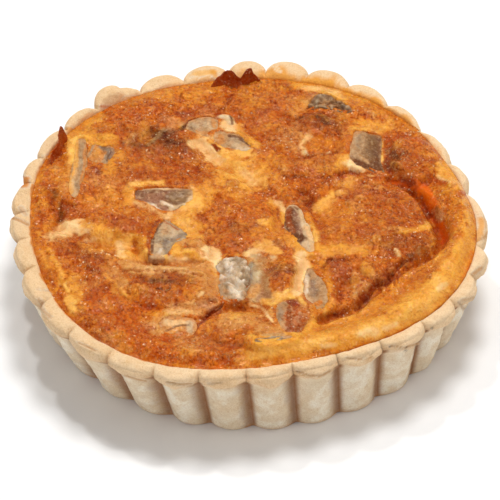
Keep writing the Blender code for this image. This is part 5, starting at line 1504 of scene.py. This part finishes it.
def filling_mesh():
    """An even lattice over a hexagon, with rows below its edge for the sides."""
    bm = bmesh.new()
    bmesh.ops.create_circle(bm, cap_ends=True, cap_tris=True, segments=6, radius=1.0)
    turn_back = Matrix.Rotation(math.radians(-30.0), 3, "Z")
    bmesh.ops.rotate(bm, cent=(0.0, 0.0, 0.0), matrix=turn_back, verts=bm.verts)
    bmesh.ops.subdivide_edges(bm, edges=bm.edges, cuts=TOP_LATTICE - 1, use_grid_fill=True)
    draw_out_rows(bm, open_edges(bm), len(WELL_ROWS) + 1, -1.0)
    return mesh_from(bm, "baked_filling")


def stand_out(mesh, heights, rounds):
    """How far each vertex stands above the average of the surface around it."""
    ends = np.empty(len(mesh.edges) * 2, dtype=np.int64)
    mesh.edges.foreach_get("vertices", ends)
    ends, others = ends.reshape(-1, 2).ravel(), ends.reshape(-1, 2)[:, ::-1].ravel()
    count = np.bincount(ends)
    average = heights
    for _ in range(rounds):
        average = np.bincount(ends, weights=average[others]) / count
    return heights - average


def make_filling(browning):
    mesh = filling_mesh()
    start = spots_of(mesh)
    depth = np.rint(-start[:, 2]).astype(int)
    ring, bearing = hexagon_to_disc(start[:, 0], start[:, 1])
    turn = np.radians(bearing)
    radius = filling_radius(bearing)
    x, y = ring * radius * np.sin(turn), ring * radius * np.cos(turn)
    spots = np.stack((x, y, surface_height(x, y)), axis=1)
    rim_run = eased((ring - 0.985) / 0.015)
    close = np.clip((ring - 1.0 + EDGE_ROUND) / EDGE_ROUND, 0.0, 1.0)
    above = np.clip(spots[:, 2] - EDGE_LEVEL, 0.0, None)
    spots[:, 2] -= above * (1.0 - np.sqrt(1.0 - close ** 2))
    spots[:, 0] += FILLING_OVERLAP * rim_run * np.sin(turn)
    spots[:, 1] += FILLING_OVERLAP * rim_run * np.cos(turn)

    plan_x, plan_y = on_plan(spots)
    finish, rise = lay_marks(plan_x, plan_y, "orange", FILLING_MARKS)
    crisp = finish[:, 3]
    clumps = rough(x, y, 0, 2.8, 101, 4) * 0.38 + rough(x, y, 0, 1.1, 111, 2) * 0.14
    crowd = eased(0.5 + 1.6 * rough(x, y, 0, 6.0, 125, 2))
    blisters = np.clip(0.36 - pores(x, y, 1.5, 121), 0.0, None) * 0.9
    blisters += np.clip(0.42 - pores(x, y, 2.5, 127), 0.0, None) * 1.3 * crowd
    holes = np.clip(0.30 - pores(x, y, 1.2, 131), 0.0, None) * 1.1
    for bubble_x, bubble_y, size, height in BUBBLES:
        away = np.hypot(plan_x - bubble_x, plan_y - bubble_y) / size
        rise += BUBBLE_RISE * height * np.sqrt(np.clip(1.0 - away ** 2, 0.0, None))
    wobble = rough(x, y, 0, 1.6, 161, 3) * 0.5
    for crack_depth, half_width, path in CRACKS:
        away = distance_to_path(plan_x + wobble, plan_y - wobble, path)
        rise -= crack_depth * eased(1.6 - away / half_width)
    broad = rough(x, y, 0, 7.0, 141, 2) * 0.45
    fade = eased((1.0 - ring) / 0.03)
    spots[:, 2] += (rise + broad + crisp * (clumps + blisters - holes)) * (0.25 + 0.75 * fade)
    raised = spots.copy()
    for _ in range(2):
        raised[:, 2] = bedded_mushrooms(spots, *on_plan(raised))
    spots = raised

    plan_x, plan_y = on_plan(spots)
    finish, _ = lay_marks(plan_x, plan_y, "orange", FILLING_MARKS)
    crisp = finish[:, 3]
    patch = rough(x, y, 0, 4.2, 171, 3)
    stain(finish, "golden", crisp * eased(patch * 1.5 - 0.25) * 0.42)
    stain(finish, "rust", crisp * eased(-patch * 1.5 - 0.25) * 0.45)
    net = np.clip(rough(x, y, 0, 1.5, 181, 3) * crisp, -1.0, 1.0)
    finish[:, :3] *= (1.0 + 0.12 * net)[:, None] ** np.array((1.0, 2.2, 3.4))
    for bubble_x, bubble_y, size, height in BUBBLES:
        away = np.hypot(plan_x - bubble_x, plan_y - bubble_y) / size
        skin = np.exp(-((away - 0.8) / 0.2) ** 2) * 0.7
        stain(finish, "peach", skin)
        foot = np.exp(-((away - 1.2) / 0.16) ** 2) * 0.6
        stain(finish, "rust", foot)
        stain(finish, "amber", eased(1.2 - away * 1.6) * 0.5)
    # painted shade: an amber contact shadow line where the filling meets the lip, weaker on the right
    # side
    right_side = eased((np.sin(turn - 0.2) - 0.1) / 0.6)
    edge = eased((ring - 0.978) / 0.02) * (0.6 - 0.5 * right_side)
    stain(finish, "amber", edge)
    # painted shade and light from the relief: parts that stand above the surface around them are
    # lightened, hollows and pits darkened
    fine, broad = stand_out(mesh, spots[:, 2], 8), stand_out(mesh, spots[:, 2], 70)
    broad = broad * eased((1.0 - ring) / 0.08)
    painted_shade = (0.8 * fine + 0.33 * broad) * (0.35 + 0.65 * finish[:, 3]) - 0.6 * finish[:, 3] * holes
    finish[:, :3] *= np.clip(1.0 + painted_shade, 0.5, 1.16)[:, None] ** np.array((0.45, 1.1, 1.8))
    finish[:, :3] *= 1.0 + finish[:, 3:4] * (np.array(BAKED) - 1.0)
    side_rows = ((UPPER_SIDE, -FILLING_GAP),) + WELL_ROWS
    for step, (height, outside) in enumerate(side_rows, start=1):
        here = depth == step
        level = height + (FILLING_GAP if height == FLOOR_THICKNESS else 0.0)
        reach_out = radius[here] + outside - FILLING_GAP
        shift = BASE_SHIFT * (1.0 - level / RIM_HEIGHT)
        spots[here] = np.stack((reach_out * np.sin(turn[here]) + shift,
                                reach_out * np.cos(turn[here]),
                                np.full(here.sum(), level)), axis=1)
    place_spots(mesh, spots)
    keep_finish(mesh, finish)
    material = browned_finish("baked_filling", browning, 0.26, 1.0, 0.35)
    return add_piece("baked_filling", mesh, material, "filling", "filling")


# Crisp flakes

def make_flake(name, material):
    start, end, bottom, lean, thickness, ragged, upper, seed = FLAKES[name]
    start, end = np.array(start), np.array(end)
    along = (end - start) / np.linalg.norm(end - start)
    outwards = np.array((-along[1], along[0]))
    if outwards @ start < 0:
        outwards = -outwards
    bm = bmesh.new()
    bmesh.ops.create_grid(bm, x_segments=110, y_segments=44, size=0.5)
    bmesh.ops.solidify(bm, geom=bm.faces[:], thickness=0.001)
    mesh = mesh_from(bm, name + "_crisp")
    base = spots_of(mesh)
    share, rise = base[:, 0] + 0.5, base[:, 1] + 0.5
    side = np.where(base[:, 2] > base[:, 2].mean(), 1.0, -1.0)
    shares, heights = zip(*upper)
    length = np.linalg.norm(end - start)
    top = np.interp(share, shares, heights)
    top = top + ragged * rough(share * length, 0, 0, 0.9, seed, 3) * (top > 1.0)
    height = rise * top
    curl = 0.35 * np.sin(share * 9.4) + 0.25 * rough(share * length, height, 0, 2.4, seed, 3)
    thin = thickness / 2 * (1.0 - 0.55 * rise)
    offset = lean * height + curl + side * thin
    flat = start + (end - start) * share[:, None] + outwards * offset[:, None]
    spots = np.concatenate((flat, (bottom + height)[:, None]), axis=1)
    blotch = rough(share * length, height, 0, 1.6, seed + 4, 3)
    finish = np.repeat(PALETTE["toffee"][None, :], len(share), axis=0)
    glow = eased(1.0 - height / 2.2 + 0.35 * blotch) * 2.2 * ragged
    stain(finish, "sienna", glow)
    scorched = eased((height - 3.2) / 2.5 + 0.5 * blotch) * 0.3
    stain(finish, "dark", scorched)
    place_spots(mesh, spots)
    keep_finish(mesh, finish)
    return add_piece(name + "_crisp", mesh, material, "crisp_flake", name)


# Studio

def make_floor():
    bm = bmesh.new()
    bmesh.ops.create_grid(bm, x_segments=1, y_segments=1, size=3.0)
    mesh = mesh_from(bm, "floor")
    floor = bpy.data.objects.new("floor", mesh)
    bpy.context.scene.collection.objects.link(floor)
    material, tree, shader = new_finish("floor")
    spot = node(tree, "ShaderNodeTexCoord").outputs["Object"]
    paper = reach(tree, noise(tree, spot, 30.0, 2.0), 0.3, 0.7, 0.0, 1.0)
    tree.links.new(blended(tree, paper, (0.90, 0.90, 0.90, 1.0), (0.92, 0.92, 0.92, 1.0)),
                   shader.inputs["Base Color"])
    shader.inputs["Roughness"].default_value = 0.9
    mesh.materials.append(material)


def add_light(name, place, size, power, tint=(1.0, 1.0, 1.0)):
    lamp = bpy.data.lights.new(name, "AREA")
    lamp.size = size
    lamp.energy = power
    lamp.color = tint
    light = bpy.data.objects.new(name, lamp)
    bpy.context.scene.collection.objects.link(light)
    light.location = place
    light.rotation_euler = (-Vector(place)).to_track_quat("-Z", "Y").to_euler()


def make_studio():
    make_floor()
    add_light("top_light", (0.10, 0.22, 0.86), 0.24, 4.6)
    add_light("small_light", (-0.18, 0.34, 0.82), 0.06, 1.8)
    add_light("right_light", (0.75, -0.10, 0.50), 0.4, 1.1, (1.0, 0.90, 0.78))
    add_light("front_fill", (-0.40, -0.76, 0.42), 0.7, 1.5)
    world = bpy.data.worlds.new("studio")
    world.use_nodes = True
    world.node_tree.nodes["Background"].inputs["Color"].default_value = (1.0, 1.0, 1.0, 1.0)
    world.node_tree.nodes["Background"].inputs["Strength"].default_value = 0.37
    scene = bpy.context.scene
    scene.world = world
    scene.view_settings.view_transform = "Standard"
    camera_data = bpy.data.cameras.new("camera")
    camera_data.sensor_width = SENSOR
    camera_data.lens = SENSOR * CAMERA_DISTANCE / VIEW_WIDTH
    camera = bpy.data.objects.new("camera", camera_data)
    scene.collection.objects.link(camera)
    camera.location = Vector((CAMERA_PLACE - CENTRE) * MM)
    away = Vector(CAMERA_AIM - CAMERA_PLACE)
    camera.rotation_euler = away.to_track_quat("-Z", "Y").to_euler()
    scene.camera = camera


make_studio()
browning = browning_group()
make_pastry()
make_filling(browning)
mushroom_flesh = browned_finish("mushroom_flesh", browning, 0.34, 0.7, 0.10)
for mushroom in MUSHROOMS:
    make_mushroom(mushroom, mushroom_flesh)
crisp_edge = browned_finish("crisp_edge", browning, 0.34, 0.5, 0.1)
for flake in FLAKES:
    make_flake(flake, crisp_edge)
